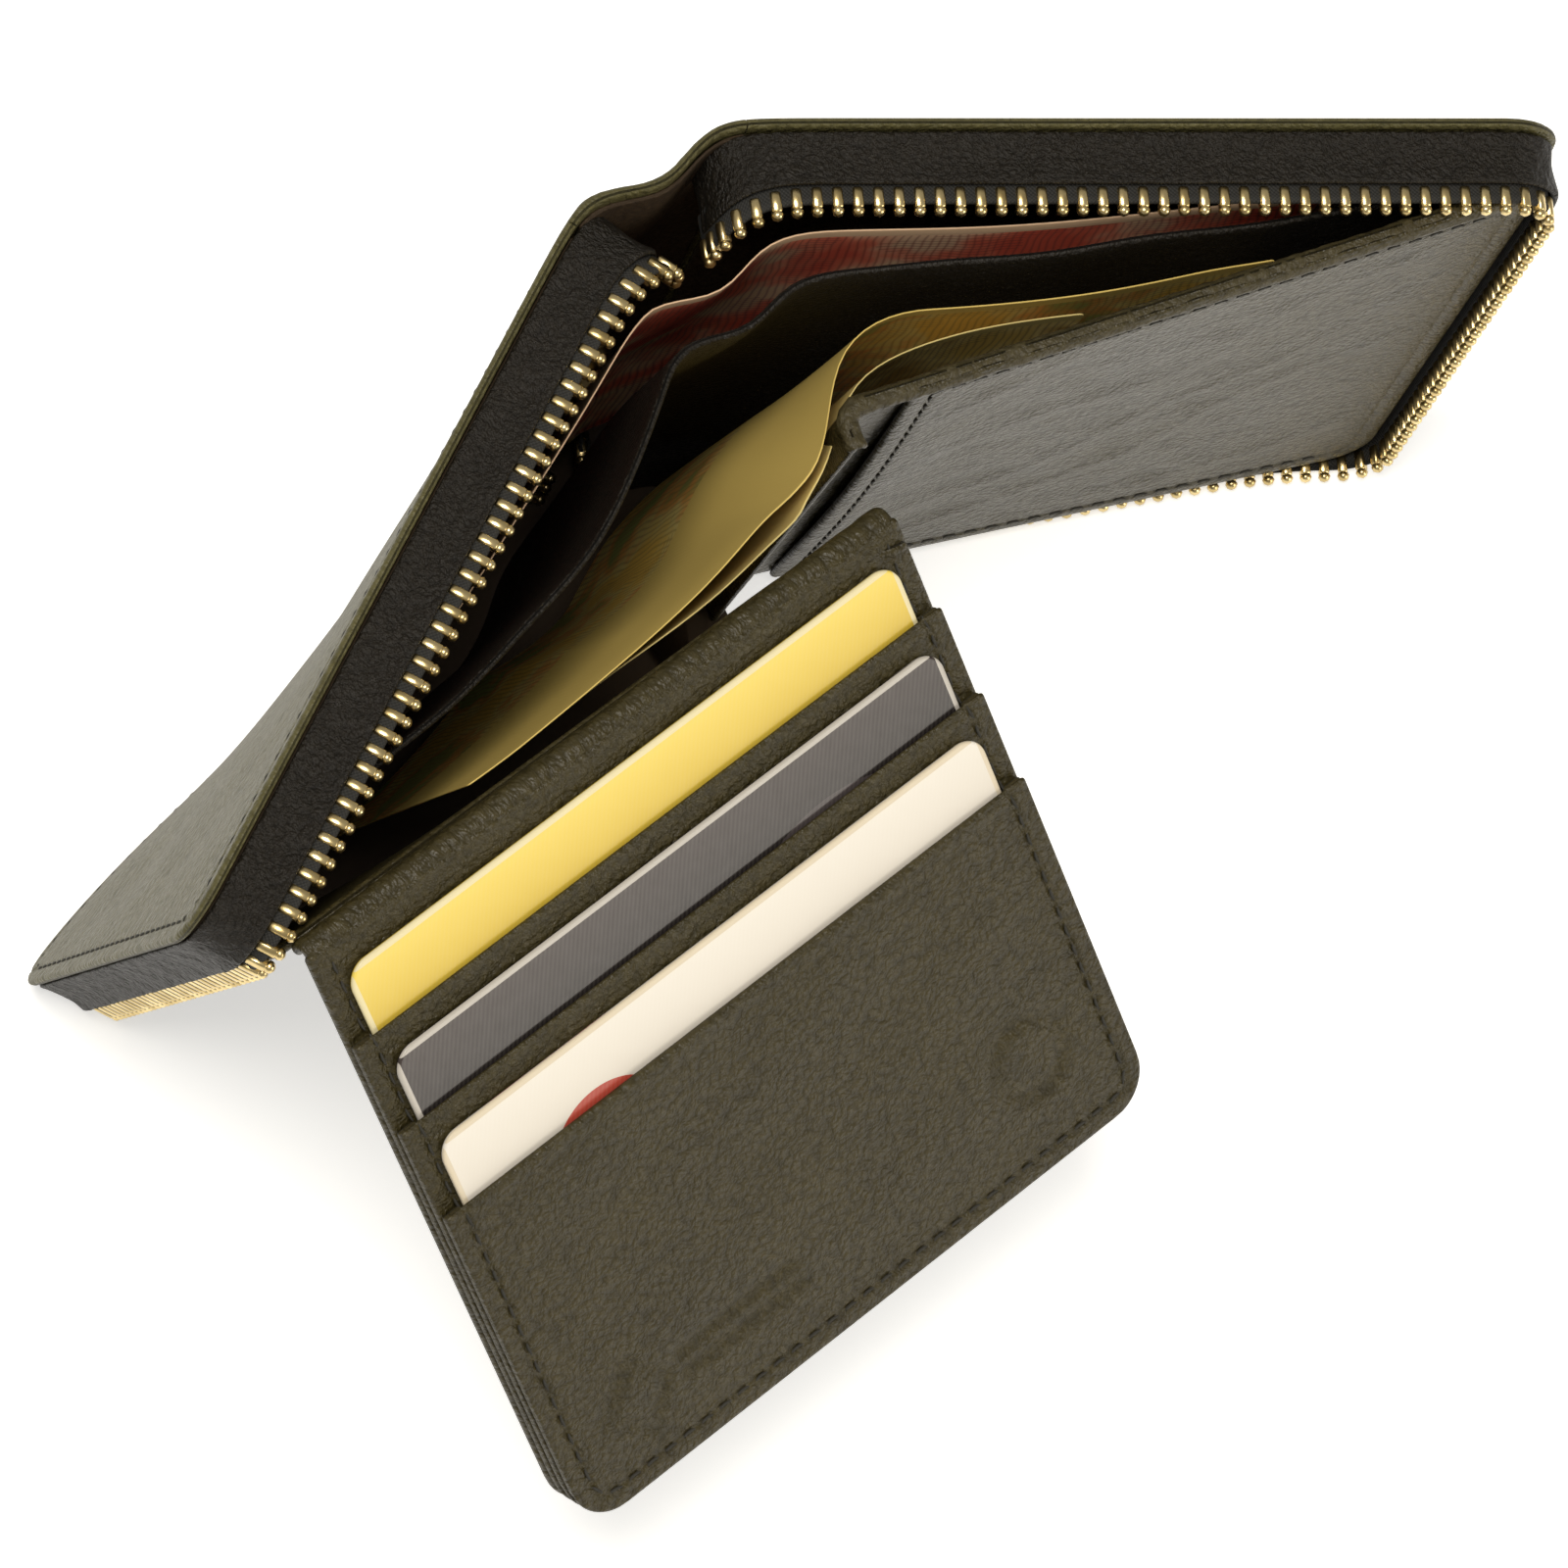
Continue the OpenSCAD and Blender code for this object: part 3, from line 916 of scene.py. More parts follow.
# ---------------------------------------------------------------- rows of teeth and stitches
class RowTree:
    """A Geometry Nodes tree that repeats one shape along a line."""

    def __init__(self) -> None:
        """Builds the tree."""
        tree = bpy.data.node_groups.new("row_along_line", "GeometryNodeTree")
        face = tree.interface
        face.new_socket("Geometry", in_out="INPUT", socket_type="NodeSocketGeometry")
        self.ids = {}
        for name, kind in (
            ("Spacing", "NodeSocketFloat"), ("Shape", "NodeSocketObject"), ("Material", "NodeSocketMaterial"),
        ):
            self.ids[name] = face.new_socket(name, in_out="INPUT", socket_type=kind).identifier
        face.new_socket("Geometry", in_out="OUTPUT", socket_type="NodeSocketGeometry")
        new, link = tree.nodes.new, tree.links.new
        start, end = new("NodeGroupInput"), new("NodeGroupOutput")
        curve, even = new("GeometryNodeMeshToCurve"), new("GeometryNodeResampleCurve")
        even.mode = "LENGTH"
        shape, spread = new("GeometryNodeObjectInfo"), new("GeometryNodeInstanceOnPoints")
        across = new("GeometryNodeInputNamedAttribute")
        across.data_type = "FLOAT_VECTOR"
        across.inputs["Name"].default_value = "across"
        tangent = new("GeometryNodeInputTangent")
        first, second = new("FunctionNodeAlignEulerToVector"), new("FunctionNodeAlignEulerToVector")
        first.axis, second.axis, second.pivot_axis = "Y", "X", "Y"
        whole, paint = new("GeometryNodeRealizeInstances"), new("GeometryNodeSetMaterial")
        link(start.outputs["Geometry"], curve.inputs["Mesh"])
        link(curve.outputs[0], even.inputs["Curve"])
        link(start.outputs["Spacing"], even.inputs["Length"])
        link(even.outputs[0], spread.inputs["Points"])
        link(start.outputs["Shape"], shape.inputs["Object"])
        link(shape.outputs["Geometry"], spread.inputs["Instance"])
        link(across.outputs["Attribute"], first.inputs["Vector"])
        link(first.outputs[0], second.inputs["Rotation"])
        link(tangent.outputs[0], second.inputs["Vector"])
        link(second.outputs[0], spread.inputs["Rotation"])
        link(spread.outputs[0], whole.inputs[0])
        link(whole.outputs[0], paint.inputs["Geometry"])
        link(start.outputs["Material"], paint.inputs["Material"])
        link(paint.outputs[0], end.inputs[0])
        self.tree = tree

    def lay(self, name: str, line: Points, across: Points, spacing: float, shape: bpy.types.Object,
            material: bpy.types.Material) -> bpy.types.Object:
        """Repeats a shape along a line and makes the result a plain mesh.

        Args:
            name: The piece's name.
            line: Points of the line.
            across: Direction of the shape's second axis at each point.
            spacing: Distance from one to the next.
            shape: The shape, small and at the origin.
            material: Its material.

        Returns:
            The finished row.
        """
        mesh = bpy.data.meshes.new(name)
        edges = [(i, i + 1) for i in range(len(line) - 1)]
        mesh.from_pydata((line * MM).tolist(), edges, [])
        layer = mesh.attributes.new("across", "FLOAT_VECTOR", "POINT")
        layer.data.foreach_set("vector", np.broadcast_to(across, line.shape).astype(np.float32).ravel())
        carrier = bpy.data.objects.new(name + "_line", mesh)
        bpy.context.scene.collection.objects.link(carrier)
        change = carrier.modifiers.new("row", "NODES")
        change.node_group = self.tree
        change[self.ids["Spacing"]] = spacing * MM
        change[self.ids["Shape"]] = shape
        change[self.ids["Material"]] = material
        bpy.context.view_layer.update()
        ready = carrier.evaluated_get(bpy.context.evaluated_depsgraph_get())
        result = bpy.data.meshes.new_from_object(ready)
        result.name = name
        carrier.modifiers.clear()
        bpy.data.objects.remove(carrier)
        piece = bpy.data.objects.new(name, result)
        bpy.context.scene.collection.objects.link(piece)
        return piece


def small_shape(name: str, work: bmesh.types.BMesh) -> bpy.types.Object:
    """An object for a row to repeat, from a shape drawn in millimetres."""
    for v in work.verts:
        v.co *= MM
    mesh = bpy.data.meshes.new(name)
    work.to_mesh(mesh)
    work.free()
    mesh.polygons.foreach_set("use_smooth", [True] * len(mesh.polygons))
    shape = bpy.data.objects.new(name + "_shape", mesh)
    bpy.context.scene.collection.objects.link(shape)
    return shape


def tooth_shape() -> bpy.types.Object:
    """One zip tooth: a flat bar clamped on the tape, with a round nub at its inner end."""
    work = bmesh.new()
    bmesh.ops.create_cube(work, size=1.0)
    for v in work.verts:
        v.co = (v.co.x * 1.25, v.co.y * 2.7 - 0.5, v.co.z * 1.5)
    bmesh.ops.bevel(work, geom=work.edges[:], offset=0.22, segments=1, affect="EDGES")
    nub = bmesh.ops.create_uvsphere(work, u_segments=8, v_segments=5, radius=1.0)
    for v in nub["verts"]:
        v.co = (v.co.x * 0.82, v.co.y * 0.75 + 1.1, v.co.z * 0.8)
    return small_shape("tooth", work)


def stitch_shape(length: float = 1.9, thick: float = 0.42) -> bpy.types.Object:
    """One stitch of thread, lying along its first axis and sinking at both ends."""
    work = bmesh.new()
    bmesh.ops.create_uvsphere(work, u_segments=7, v_segments=6, radius=1.0)
    for v in work.verts:
        dive = 1.0 - (v.co.z ** 2) * 0.9
        v.co = (v.co.z * length / 2.0, v.co.x * thick / 2.0, v.co.y * thick / 2.0 + (dive - 1.0) * 0.25)
    bmesh.ops.recalc_face_normals(work, faces=work.faces)
    return small_shape("stitch", work)


@dataclass
class Workshop:
    """What every sub-assembly needs: finishes, the row tree and the two repeated shapes."""

    finishes: Finishes
    rows: RowTree
    tooth: bpy.types.Object
    stitch: bpy.types.Object

    def stitches(self, name: str, line: Points, across: Any, body: Body, slot: str) -> None:
        """Lays a row of stitches on a line and makes it ride.

        Args:
            name: The piece's name.
            line: Points of the line, on the leather.
            across: Direction along the leather, square to the line.
            body: The body that it rides on.
            slot: Not used.
        """
        row = self.rows.lay(
            name, line, np.asarray(across, float), STITCH_SPACING, self.stitch, self.finishes.thread
        )
        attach(row, body.value)

    def inner(self, piece: bpy.types.Object) -> bpy.types.Object:
        """Gives a piece the inner leather."""
        return dress(piece, self.finishes.inner)


# ---------------------------------------------------------------- covers, spine and linings
@dataclass
class Shell:
    """The outer leather: two covers joined by a soft spine, and their linings."""

    shop: Workshop
    spine_bulge: float = 9.0

    def cover(self, side: Space, name: str, body: Body, seed: int) -> None:
        """One cover with its turned edge and stitches.

        Args:
            side: The half's axes.
            name: Name of the half, right or left.
            body: The body that it rides on.
            seed: Seed of its unevenness.
        """
        start = 1.3
        length = COVER_LENGTH - start
        plate = Plate(length, COVER_HEIGHT, LEATHER, (0.4, CORNER, CORNER, 0.4), 1.8, 0.6, "w")

        def place(x: Points, y: Points, h: Points) -> Points:
            """Points of the cover."""
            return SPLAY.apply(side.at(x + start, LEATHER / 2.0 - h, y))

        def front(x: Points, y: Points, inset: Points) -> Points:
            """Outside face: swollen edge, stitch channel and gentle unevenness."""
            rim = np.minimum(np.minimum(length - x, y), COVER_HEIGHT - y)
            soft = 0.16 * ripple(x, y, seed, 26.0) * smooth((rim - 3.0) / 12.0)
            return soft + groove(rim) - 0.1 * padded_edge(rim)

        skin = plate.make(name + "_cover_skin", place, front)
        piece = dress(skin, self.shop.finishes.outer)
        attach(piece, body.value)
        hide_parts(name + "_cover")
        s = STITCH_INSET
        r = CORNER - s
        e = COVER_LENGTH - CORNER
        line = Track(np.concatenate([
            np.linspace((5.0, s), (e, s), 40), arc((e, CORNER), r, -90, 0),
            arc((e, COVER_HEIGHT - CORNER), r, 0, 90),
            np.linspace((e, COVER_HEIGHT - s), (5.0, COVER_HEIGHT - s), 40),
        ]))
        d = np.linspace(0.0, line.length, 260)
        a, b = line.at(d)
        inner_a, inner_b = line.at(d, 1.0)
        path = SPLAY.apply(side.at(a, 0.12, b))
        across = side.at(inner_a, 0.12, inner_b) - side.at(a, 0.12, b)
        self.shop.stitches(name + "_cover_stitches", path, across, body, "outer_leather")

    def lining(self, side: Space, name: str, body: Body, seed: int) -> None:
        """One half's lining."""
        start = 2.2
        length = COVER_LENGTH - 1.35 - start
        plate = Plate(length, RIM_TOP - 2.6, LINING - 0.1, (0.4, 6.0, 6.0, 0.4), 2.4, 0.3, "w")

        def place(x: Points, y: Points, h: Points) -> Points:
            """Points of the lining."""
            return SPLAY.apply(side.at(x + start, LEATHER + LINING / 2.0 + 0.02 + h, y + 1.3))

        def face(x: Points, y: Points, inset: Points) -> Points:
            """Soft waves."""
            return 0.15 * (1.0 + ripple(x, y, seed, 20.0)) * smooth(inset / 8.0)

        cloth = plate.make(name + "_lining_cloth", place, face)
        piece = dress(cloth, self.shop.finishes.lining)
        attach(piece, body.value)
        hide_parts(name + "_lining")

    def spine(self) -> None:
        """The spine's leather and its lining, curved between the two covers."""
        crease = np.array(LEFT_CREASE)
        bulge = self.spine_bulge
        track = Track(bezier([(1.3, 0.0), (-bulge, 0.0), crease - bulge * LEAD, crease + 1.3 * LEAD], 80))
        beyond = crease + 2.0 * LEAD + (3.0, 0.0)
        start, end = (DRAFT.at(x, y, 48.0) * MM for x, y in ((2.0, -3.0), tuple(beyond)))

        def make(name: str, plate: Plate, level: float, low: float, wave: float, node: str,
                 material: bpy.types.Material) -> None:
            """One layer of the spine."""

            def place(x: Points, y: Points, h: Points) -> Points:
                """Points of the layer."""
                a, b = track.at(x, level - h)
                return SPLAY.apply(DRAFT.at(a, b, y + low))

            def front(x: Points, y: Points, inset: Points) -> Points:
                """Creases where the leather gathers at both ends of the spine."""
                rim = np.minimum(y, plate.height - y)
                waves = np.sin(x * 2.0 * math.pi / 3.4 + ripple(x, y, 5, 9.0))
                gather = np.exp(-rim / 9.0) * waves * smooth(rim / 2.0)
                ends = smooth(x / 5.0) * smooth((plate.width - x) / 5.0)
                return (wave * gather + 0.12 * ripple(x, y, 8, 14.0)) * ends + 0.2 * groove(rim)

            piece = dress(plate.make(name, place, front), material)
            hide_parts(node)
            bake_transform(piece)

        skin = Plate(track.length, COVER_HEIGHT, LEATHER, (0.05, 0.05, 0.05, 0.05), 1.2, 0.6, "we")
        make("spine_skin", skin, LEATHER / 2.0, 0.0, 0.22, "spine_cover",
             self.shop.finishes.outer)
        cloth = Plate(track.length - 0.8, RIM_TOP - 2.4, LINING - 0.1, (0.4, 0.4, 0.4, 0.4), 2.0, 0.3)
        make("spine_cloth", cloth, LEATHER + LINING / 2.0, 1.2, 0.1, "spine_lining",
             self.shop.finishes.lining)

    def build(self) -> None:
        """Builds both covers, both linings and the spine."""
        for side, name, body, seed in ((RIGHT, "right", Body.RIGHT, 11), (LEFT, "left", Body.LEFT, 23)):
            self.cover(side, name, body, seed)
            self.lining(side, name, body, seed + 1)
        self.spine()


# ---------------------------------------------------------------- gussets and zip
@dataclass
class Zip:
    """The gussets, tapes and teeth round both halves, and the closed end inside the spine."""

    shop: Workshop
    gusset_low: float = 1.55
    gusset_high: float = 8.3
    curl: float = 4.5

    def strip(self, side: Space, body: Body, name: str, plate: Plate, inset: float, low: float, curl: float,
              front: Relief, material: bpy.types.Material, node: str) -> None:
        """A strip that runs round a half's open sides.

        Args:
            side: The half's axes.
            body: The body that it rides on.
            name: The piece's name.
            plate: Its section, without its length.
            inset: Distance of its middle inside the cover's edge.
            low: Depth of its outer edge behind the outside face.
            curl: How far it goes on past the crease.
            front: Relief of its outer face.
            material: Its material.
            node: The part it stands for.
        """
        track = rim_track(inset, curl)
        plate.width = track.length

        def place(x: Points, y: Points, h: Points) -> Points:
            """Points of the strip."""
            a, b = track.at(x, h)
            return SPLAY.apply(side.at(a, y + low, b))

        piece = dress(plate.make(name, place, front, front), material)
        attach(piece, body.value)
        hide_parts(node)

    def gusset(self, side: Space, name: str, body: Body, seed: int) -> None:
        """The soft leather strip between a cover and its zip."""
        width = self.gusset_high - self.gusset_low
        plate = Plate(1.0, width, 1.0, (1.0, 1.0, 1.0, 1.0), 1.1, 0.5)

        def front(x: Points, y: Points, inset: Points) -> Points:
            """A hollow between cover and zip, with small slanted puckers."""
            hollow = -0.45 * np.sin(np.clip(y / width, 0.0, 1.0) * math.pi)
            pucker = np.sin((x + 0.55 * y) * 2.0 * math.pi / 3.1 + 1.6 * ripple(x, y, seed, 17.0))
            return hollow + 0.10 * pucker + 0.10 * ripple(x, y, seed + 3, 6.5)

        self.strip(side, body, name + "_gusset_strip", plate, 0.75, self.gusset_low, self.curl, front,
                   self.shop.finishes.gusset, name + "_gusset")

    def tape(self, side: Space, name: str, body: Body) -> None:
        """The woven tape that the teeth are clamped on."""
        plate = Plate(1.0, 4.6, 0.5, (0.3, 0.3, 0.3, 0.3), 1.2, 0.2)

        def front(x: Points, y: Points, inset: Points) -> Points:
            """The cord along the tape's edge."""
            return 0.22 * np.exp(-(((y - 4.0) / 0.4) ** 2))

        self.strip(side, body, name + "_tape_strip", plate, TOOTH_INSET, 5.9, self.curl, front,
                   self.shop.finishes.tape, name + "_zip_tape")

    def teeth(self, side: Space, name: str, body: Body) -> None:
        """One half's row of teeth."""
        track = rim_track(TOOTH_INSET, self.curl)
        d = np.linspace(1.2, track.length - 1.2, 420)
        a, b = track.at(d)
        depth = TOOTH_LOW + 1.95
        path = SPLAY.apply(side.at(a, depth, b))
        inward = SPLAY.apply(side.at(a, depth + 1.0, b)) - path
        shop = self.shop
        row = shop.rows.lay(name + "_teeth_row", path, inward, TOOTH_PITCH, shop.tooth, shop.finishes.metal)
        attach(row, body.value)
        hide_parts(name + "_zip_teeth", name + "_top_stop")

    def tail(self) -> None:
        """The closed end of the zip, sewn inside the spine."""
        plate = Plate(12.0, 39.0, 0.5, (1.2, 1.2, 1.2, 1.2), 1.2, 0.2)

        def place(x: Points, y: Points, h: Points) -> Points:
            """Points of the tail's tape, narrow where the slider runs."""
            narrow = smooth((y - 10.0) / 3.0) * (1.0 - smooth((y - 35.0) / 2.0))
            return TAIL.at((x - 6.0) * (1.0 - 0.47 * narrow), h, y + 3.0)

        tape = dress(plate.make("zip_tail_strip", place), self.shop.finishes.tape)
        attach(tape, Body.RIGHT.value)
        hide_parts("zip_tail_tape")
        parts = []
        for sign in (-1.0, 1.0):
            z = np.linspace(4.2 + 0.6 * sign, 36.8, 30)
            path = TAIL.at(np.full_like(z, sign * 1.15), 0.0, z)
            across = TAIL.at(-sign, 0.0, 0.0) - TAIL.at(0.0, 0.0, 0.0)
            parts.append(self.shop.rows.lay(
                "zip_tail_row_" + ("a" if sign < 0 else "b"), path, across, TOOTH_PITCH, self.shop.tooth,
                self.shop.finishes.metal))
        for part in parts:
            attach(part, Body.RIGHT.value)
        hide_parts("zip_tail_teeth")

    def build(self) -> None:
        """Builds both halves' gussets, tapes and teeth and the tail."""
        for side, name, body, seed in ((RIGHT, "right", Body.RIGHT, 31), (LEFT, "left", Body.LEFT, 47)):
            self.gusset(side, name, body, seed)
            self.tape(side, name, body)
            self.teeth(side, name, body)
        self.tail()


# ---------------------------------------------------------------- divider and notes
@dataclass(frozen=True)
class SheetPlan:
    """A thin sheet that runs through the fold.

    Args:
        name: The piece's name.
        node: The part it stands for.
        curves: The cubic curves that it follows, seen from above.
        low: Height of its lower edge.
        height: Its height.
        ply: Its thickness.
        wave: Height of its waves.
        lean: How far its foot leans outwards, at five places from its right end to its left end.
        slot: Not used.
    """

    name: str
    node: str
    curves: tuple[tuple[tuple[float, float], ...], ...]
    low: float
    height: float
    ply: float
    wave: float
    lean: tuple[float, ...]
    slot: str


class Contents:
    """The divider and the three notes."""

    PLANS = (
        SheetPlan("divider_leather", "note_divider", (
            ((97, -6), (70, -12.5), (35, -15.5), (14, -17)),
            ((14, -17), (-3, -18.5), (-7, -23), (-9.5, -30)),
            ((-9.5, -30), (-14, -48), (-24, -62), (-63, -93)),
        ), 4.2, 86.0, 0.9, 0.5, (0, 4, 6, 7, -3), "gusset_leather"),
        SheetPlan("rear_note_film", "rear_note", (
            ((78, -6.5), (55, -10.5), (32, -12), (12, -12.5)),
            ((12, -12.5), (-3, -13), (-8, -16), (-12, -21)),
            ((-12, -21), (-20, -35), (-30, -52), (-46, -74)),
        ), 24.5, NOTE_HEIGHT, 0.2, 0.5, (0, 1, 3, 3, 1), "note_red"),
        SheetPlan("front_note_film", "front_note", (
            ((68, -14.5), (50, -18), (36, -20), (24, -21)),
            ((24, -21), (13, -22), (8, -31), (4, -42)),
            ((4, -42), (0, -53), (-14, -66), (-36, -82.5)),
        ), 21.0, NOTE_HEIGHT, 0.2, 0.6, (3, 6, 14, 17, 6), "note_gold"),
        SheetPlan("inner_note_film", "inner_note", (
            ((44, -20.5), (26, -22), (8, -28), (5.5, -43)),
            ((5.5, -43), (4, -52), (-7, -60), (-24, -72.5)),
        ), 19.0, NOTE_HEIGHT, 0.2, 0.3, (6, 8, 11, 13, 8), "note_gold"),
    )

    def __init__(self, shop: Workshop, foot: float = 3.6) -> None:
        """Keeps the workshop and the height of the compartments' bottom."""
        self.shop = shop
        self.foot = foot

    @staticmethod
    def bend(piece: bpy.types.Object) -> None:
        """Bakes a piece's placement into its mesh."""
        start, end = DRAFT.at(3.0, -12.0, 48.0) * MM, DRAFT.at(-16.0, -23.0, 48.0) * MM
        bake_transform(piece)

    def sheet(self, plan: SheetPlan, material: bpy.types.Material, seed: int) -> None:
        """One sheet, drawn along its curves through the fold."""
        track = Track(np.concatenate([bezier(c, 40) for c in plan.curves]))
        plate = Plate(track.length, plan.height, plan.ply, (0.8, 0.8, 0.8, 0.8), 1.8, plan.ply / 2.0)

        def place(x: Points, y: Points, h: Points) -> Points:
            """Points of the sheet, a little wavy along its upper edge."""
            loose = smooth((y - 8.0) / plan.height) * smooth(x / 12.0) * smooth((track.length - x) / 12.0)
            lean = np.interp(x / track.length, np.linspace(0.0, 1.0, 5), plan.lean) * (1.0 - y / plan.height)
            a, b = track.at(x, h - lean + plan.wave * loose * ripple(x, y * 0.3, seed, 42.0))
            return SPLAY.apply(DRAFT.at(a, b, y + plan.low))

        piece = dress(plate.make(plan.name, place), material)
        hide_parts(plan.node)
        self.bend(piece)

    def bottom(self) -> None:
        """The dark cloth that closes the note compartments at the foot."""
        crease = np.array(LEFT_CREASE)
        inside = 4.2
        turn = Track(bezier([(2.0, 0.0), (-2.5, -0.5), crease - 2.5 * LEAD, crease + 2.0 * LEAD], 30))
        around = np.stack(turn.at(np.linspace(0.5, turn.length - 0.5, 24), np.full(24, 0.9)), axis=1)
        left = crease + inside * np.array([-LEAD[1], LEAD[0]]) + np.linspace(3.0, 97.0, 40)[:, None] * LEAD
        outline = np.concatenate([np.linspace((97.0, -inside), (4.0, -inside), 40), around, left])
        outer = SPLAY.apply(DRAFT.at(outline[:, 0], outline[:, 1], np.full(len(outline), self.foot)))
        free = SPLAY.pocket(POCKET.at(np.linspace(3.0, 92.5, 40), np.full(40, -1.4), np.full(40, self.foot)))
        far = SPLAY.apply(PANEL.at(np.linspace(93.5, 2.0, 40), np.full(40, -0.6), np.full(40, self.foot)))
        forward = 11.0 * np.array([0.36, -0.93, 0.0])
        inner = np.concatenate([free, [free[-1] + forward, far[0] + forward], far])
        rows = [np.linspace(0.0, 1.0, len(line)) for line in (outer, inner)]
        plate = Plate(1.0, 1.0, 0.4, (0.01, 0.01, 0.01, 0.01), 0.012, 0.008)

        def place(x: Points, y: Points, h: Points) -> Points:
            """Points between the linings and the inner panels, a little slack."""
            ends = [np.stack([np.interp(x, row, line[:, i]) for i in range(3)], axis=-1)
                    for row, line in zip(rows, (outer, inner))]
            points = ends[0] + (ends[1] - ends[0]) * y[..., None]
            points[..., 2] += 1.2 * np.sin(y * math.pi) * ripple(x * 180.0, y * 20.0, 91, 40.0) - h
            return points

        piece = dress(plate.make("compartment_bottom", place), self.shop.finishes.lining)
        self.bend(piece)

    def build(self) -> None:
        """Builds the divider, the notes and the cloth below them."""
        self.bottom()
        finishes = self.shop.finishes
        materials = (finishes.gusset, finishes.note_red, finishes.note_gold, finishes.note_brown)
        for i, (plan, material) in enumerate(zip(self.PLANS, materials)):
            self.sheet(plan, material, 61 + i)


# ---------------------------------------------------------------- inner panels
@dataclass
class InnerPanels:
    """The slip pocket on the right and the panel on the left that carries the card flap."""

    shop: Workshop
    height: float = PANEL_TOP - PANEL_LOW

    def pocket(self) -> None:
        """The right panel: a backing that turns down beside the spine, and a face open at its side."""
        bend = arc((91.6, 2.6), 2.6, -90.0, -8.0, 10)
        track = Track(np.concatenate([np.linspace((0.0, 0.0), (91.0, 0.0), 60), bend, [(94.3, 5.6)]]))
        back = Plate(track.length, self.height, 0.9, (6.0, 0.5, 0.5, 6.0), 1.3, 0.45)

        def place_back(x: Points, y: Points, h: Points) -> Points:
            """Points of the backing."""
            a, b = track.at(x, h)
            return SPLAY.pocket(POCKET.at(a, b - 0.35, y + PANEL_LOW))

        def crest(x: Points, y: Points, inset: Points) -> Points:
            """Creases at the turn beside the spine."""
            turn = np.exp(-(((x - 93.0) / 5.0) ** 2))
            waves = np.sin(y * 2.0 * math.pi / 5.5 + 2.0 * ripple(x, y, 77, 15.0))
            return 0.18 * turn * waves + 0.05 * ripple(x, y, 78, 9.0)

        piece = self.shop.inner(back.make("pocket_backing", place_back, crest))
        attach(piece, Body.POCKET.value)
        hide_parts("right_pocket_back", "inner_spine_strip")

        length = 84.6
        face = Plate(length, self.height, 1.0, (6.0, 1.0, 1.0, 6.0), 1.1, 0.55)

        def place_face(x: Points, y: Points, h: Points) -> Points:
            """Points of the face, which stands off its backing where it is open."""
            rise = np.clip((y - 4.0) / (self.height - 8.0), 0.0, 1.0)
            mouth = smooth((x - 66.0) / 18.0) * np.sin(rise * math.pi)
            return SPLAY.pocket(POCKET.at(x + 0.2, 0.62 + 1.1 * mouth + h, y + PANEL_LOW))

        def soft(x: Points, y: Points, inset: Points) -> Points:
            """Stitch channel, swollen edge and long soft creases."""
            slant = np.sin((x * 0.55 + y) * 2.0 * math.pi / 21.0 + 1.3 * ripple(x, y, 71, 40.0))
            folds = 0.22 * np.maximum(slant, 0.0) ** 3 + 0.10 * ripple(x, y, 72, 11.0)
            return folds * smooth((inset - 2.5) / 9.0) + groove(inset, 3.0, 0.26) + padded_edge(inset, 0.14)

        piece = self.shop.inner(face.make("pocket_face", place_face, soft))
        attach(piece, Body.POCKET.value)
        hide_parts("right_pocket_face")

        roll = Plate(track.length - 1.4, 4.6, 0.8, (0.4, 0.4, 0.4, 0.4), 1.0, 0.4)

        def place_roll(x: Points, y: Points, h: Points) -> Points:
            """Points of the turned top edge, wrapped over both layers."""
            angle = (y - 2.3) / 4.6 * math.pi * 1.05
            radius = 1.0 + h
            a, b = track.at(x + 1.2, 0.12 + np.sin(angle) * radius)
            return SPLAY.pocket(POCKET.at(a, b, PANEL_TOP - 1.35 + np.cos(angle) * radius))

        def gathers(x: Points, y: Points, inset: Points) -> Points:
            """Fine cross creases on the crest."""
            waves = np.sin(x * 2.0 * math.pi / 2.6 + 2.0 * ripple(x, y, 74, 13.0))
            return 0.05 * waves + 0.06 * ripple(x, y, 75, 7.0)

        piping = roll.make("pocket_piping", place_roll, gathers)
        piece = dress(piping, self.shop.finishes.edge)
        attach(piece, Body.POCKET.value)
        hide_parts("right_pocket_piping")

        s = 3.0
        frame_line = np.concatenate([
            np.linspace((8.0, self.height - s), (length - s, self.height - s), 60),
            np.linspace((length - s, self.height - s), (length - s, s), 60)[1:],
            np.linspace((length - s, s), (9.0, s), 60)[1:],
        ])
        x, y = frame_line[:, 0], frame_line[:, 1]
        path = place_face(x, y, np.full_like(x, 0.42))
        headings = np.gradient(path, axis=0)
        across = np.cross(headings, np.array(POCKET.second))
        self.shop.stitches("pocket_stitches", path, across, Body.POCKET, "inner_leather")

    def panel(self) -> None:
        """The left panel behind the card flap."""
        plate = Plate(94.4, self.height, 1.5, (6.0, 0.8, 0.8, 6.0), 1.8, 0.7)

        def place(x: Points, y: Points, h: Points) -> Points:
            """Points of the panel."""
            return SPLAY.apply(PANEL.at(x, h, y + PANEL_LOW))

        def front(x: Points, y: Points, inset: Points) -> Points:
            """Stitch channel and gentle unevenness."""
            return 0.12 * ripple(x, y, 81, 22.0) * smooth((inset - 3.0) / 9.0) + groove(inset, 3.0, 0.2)

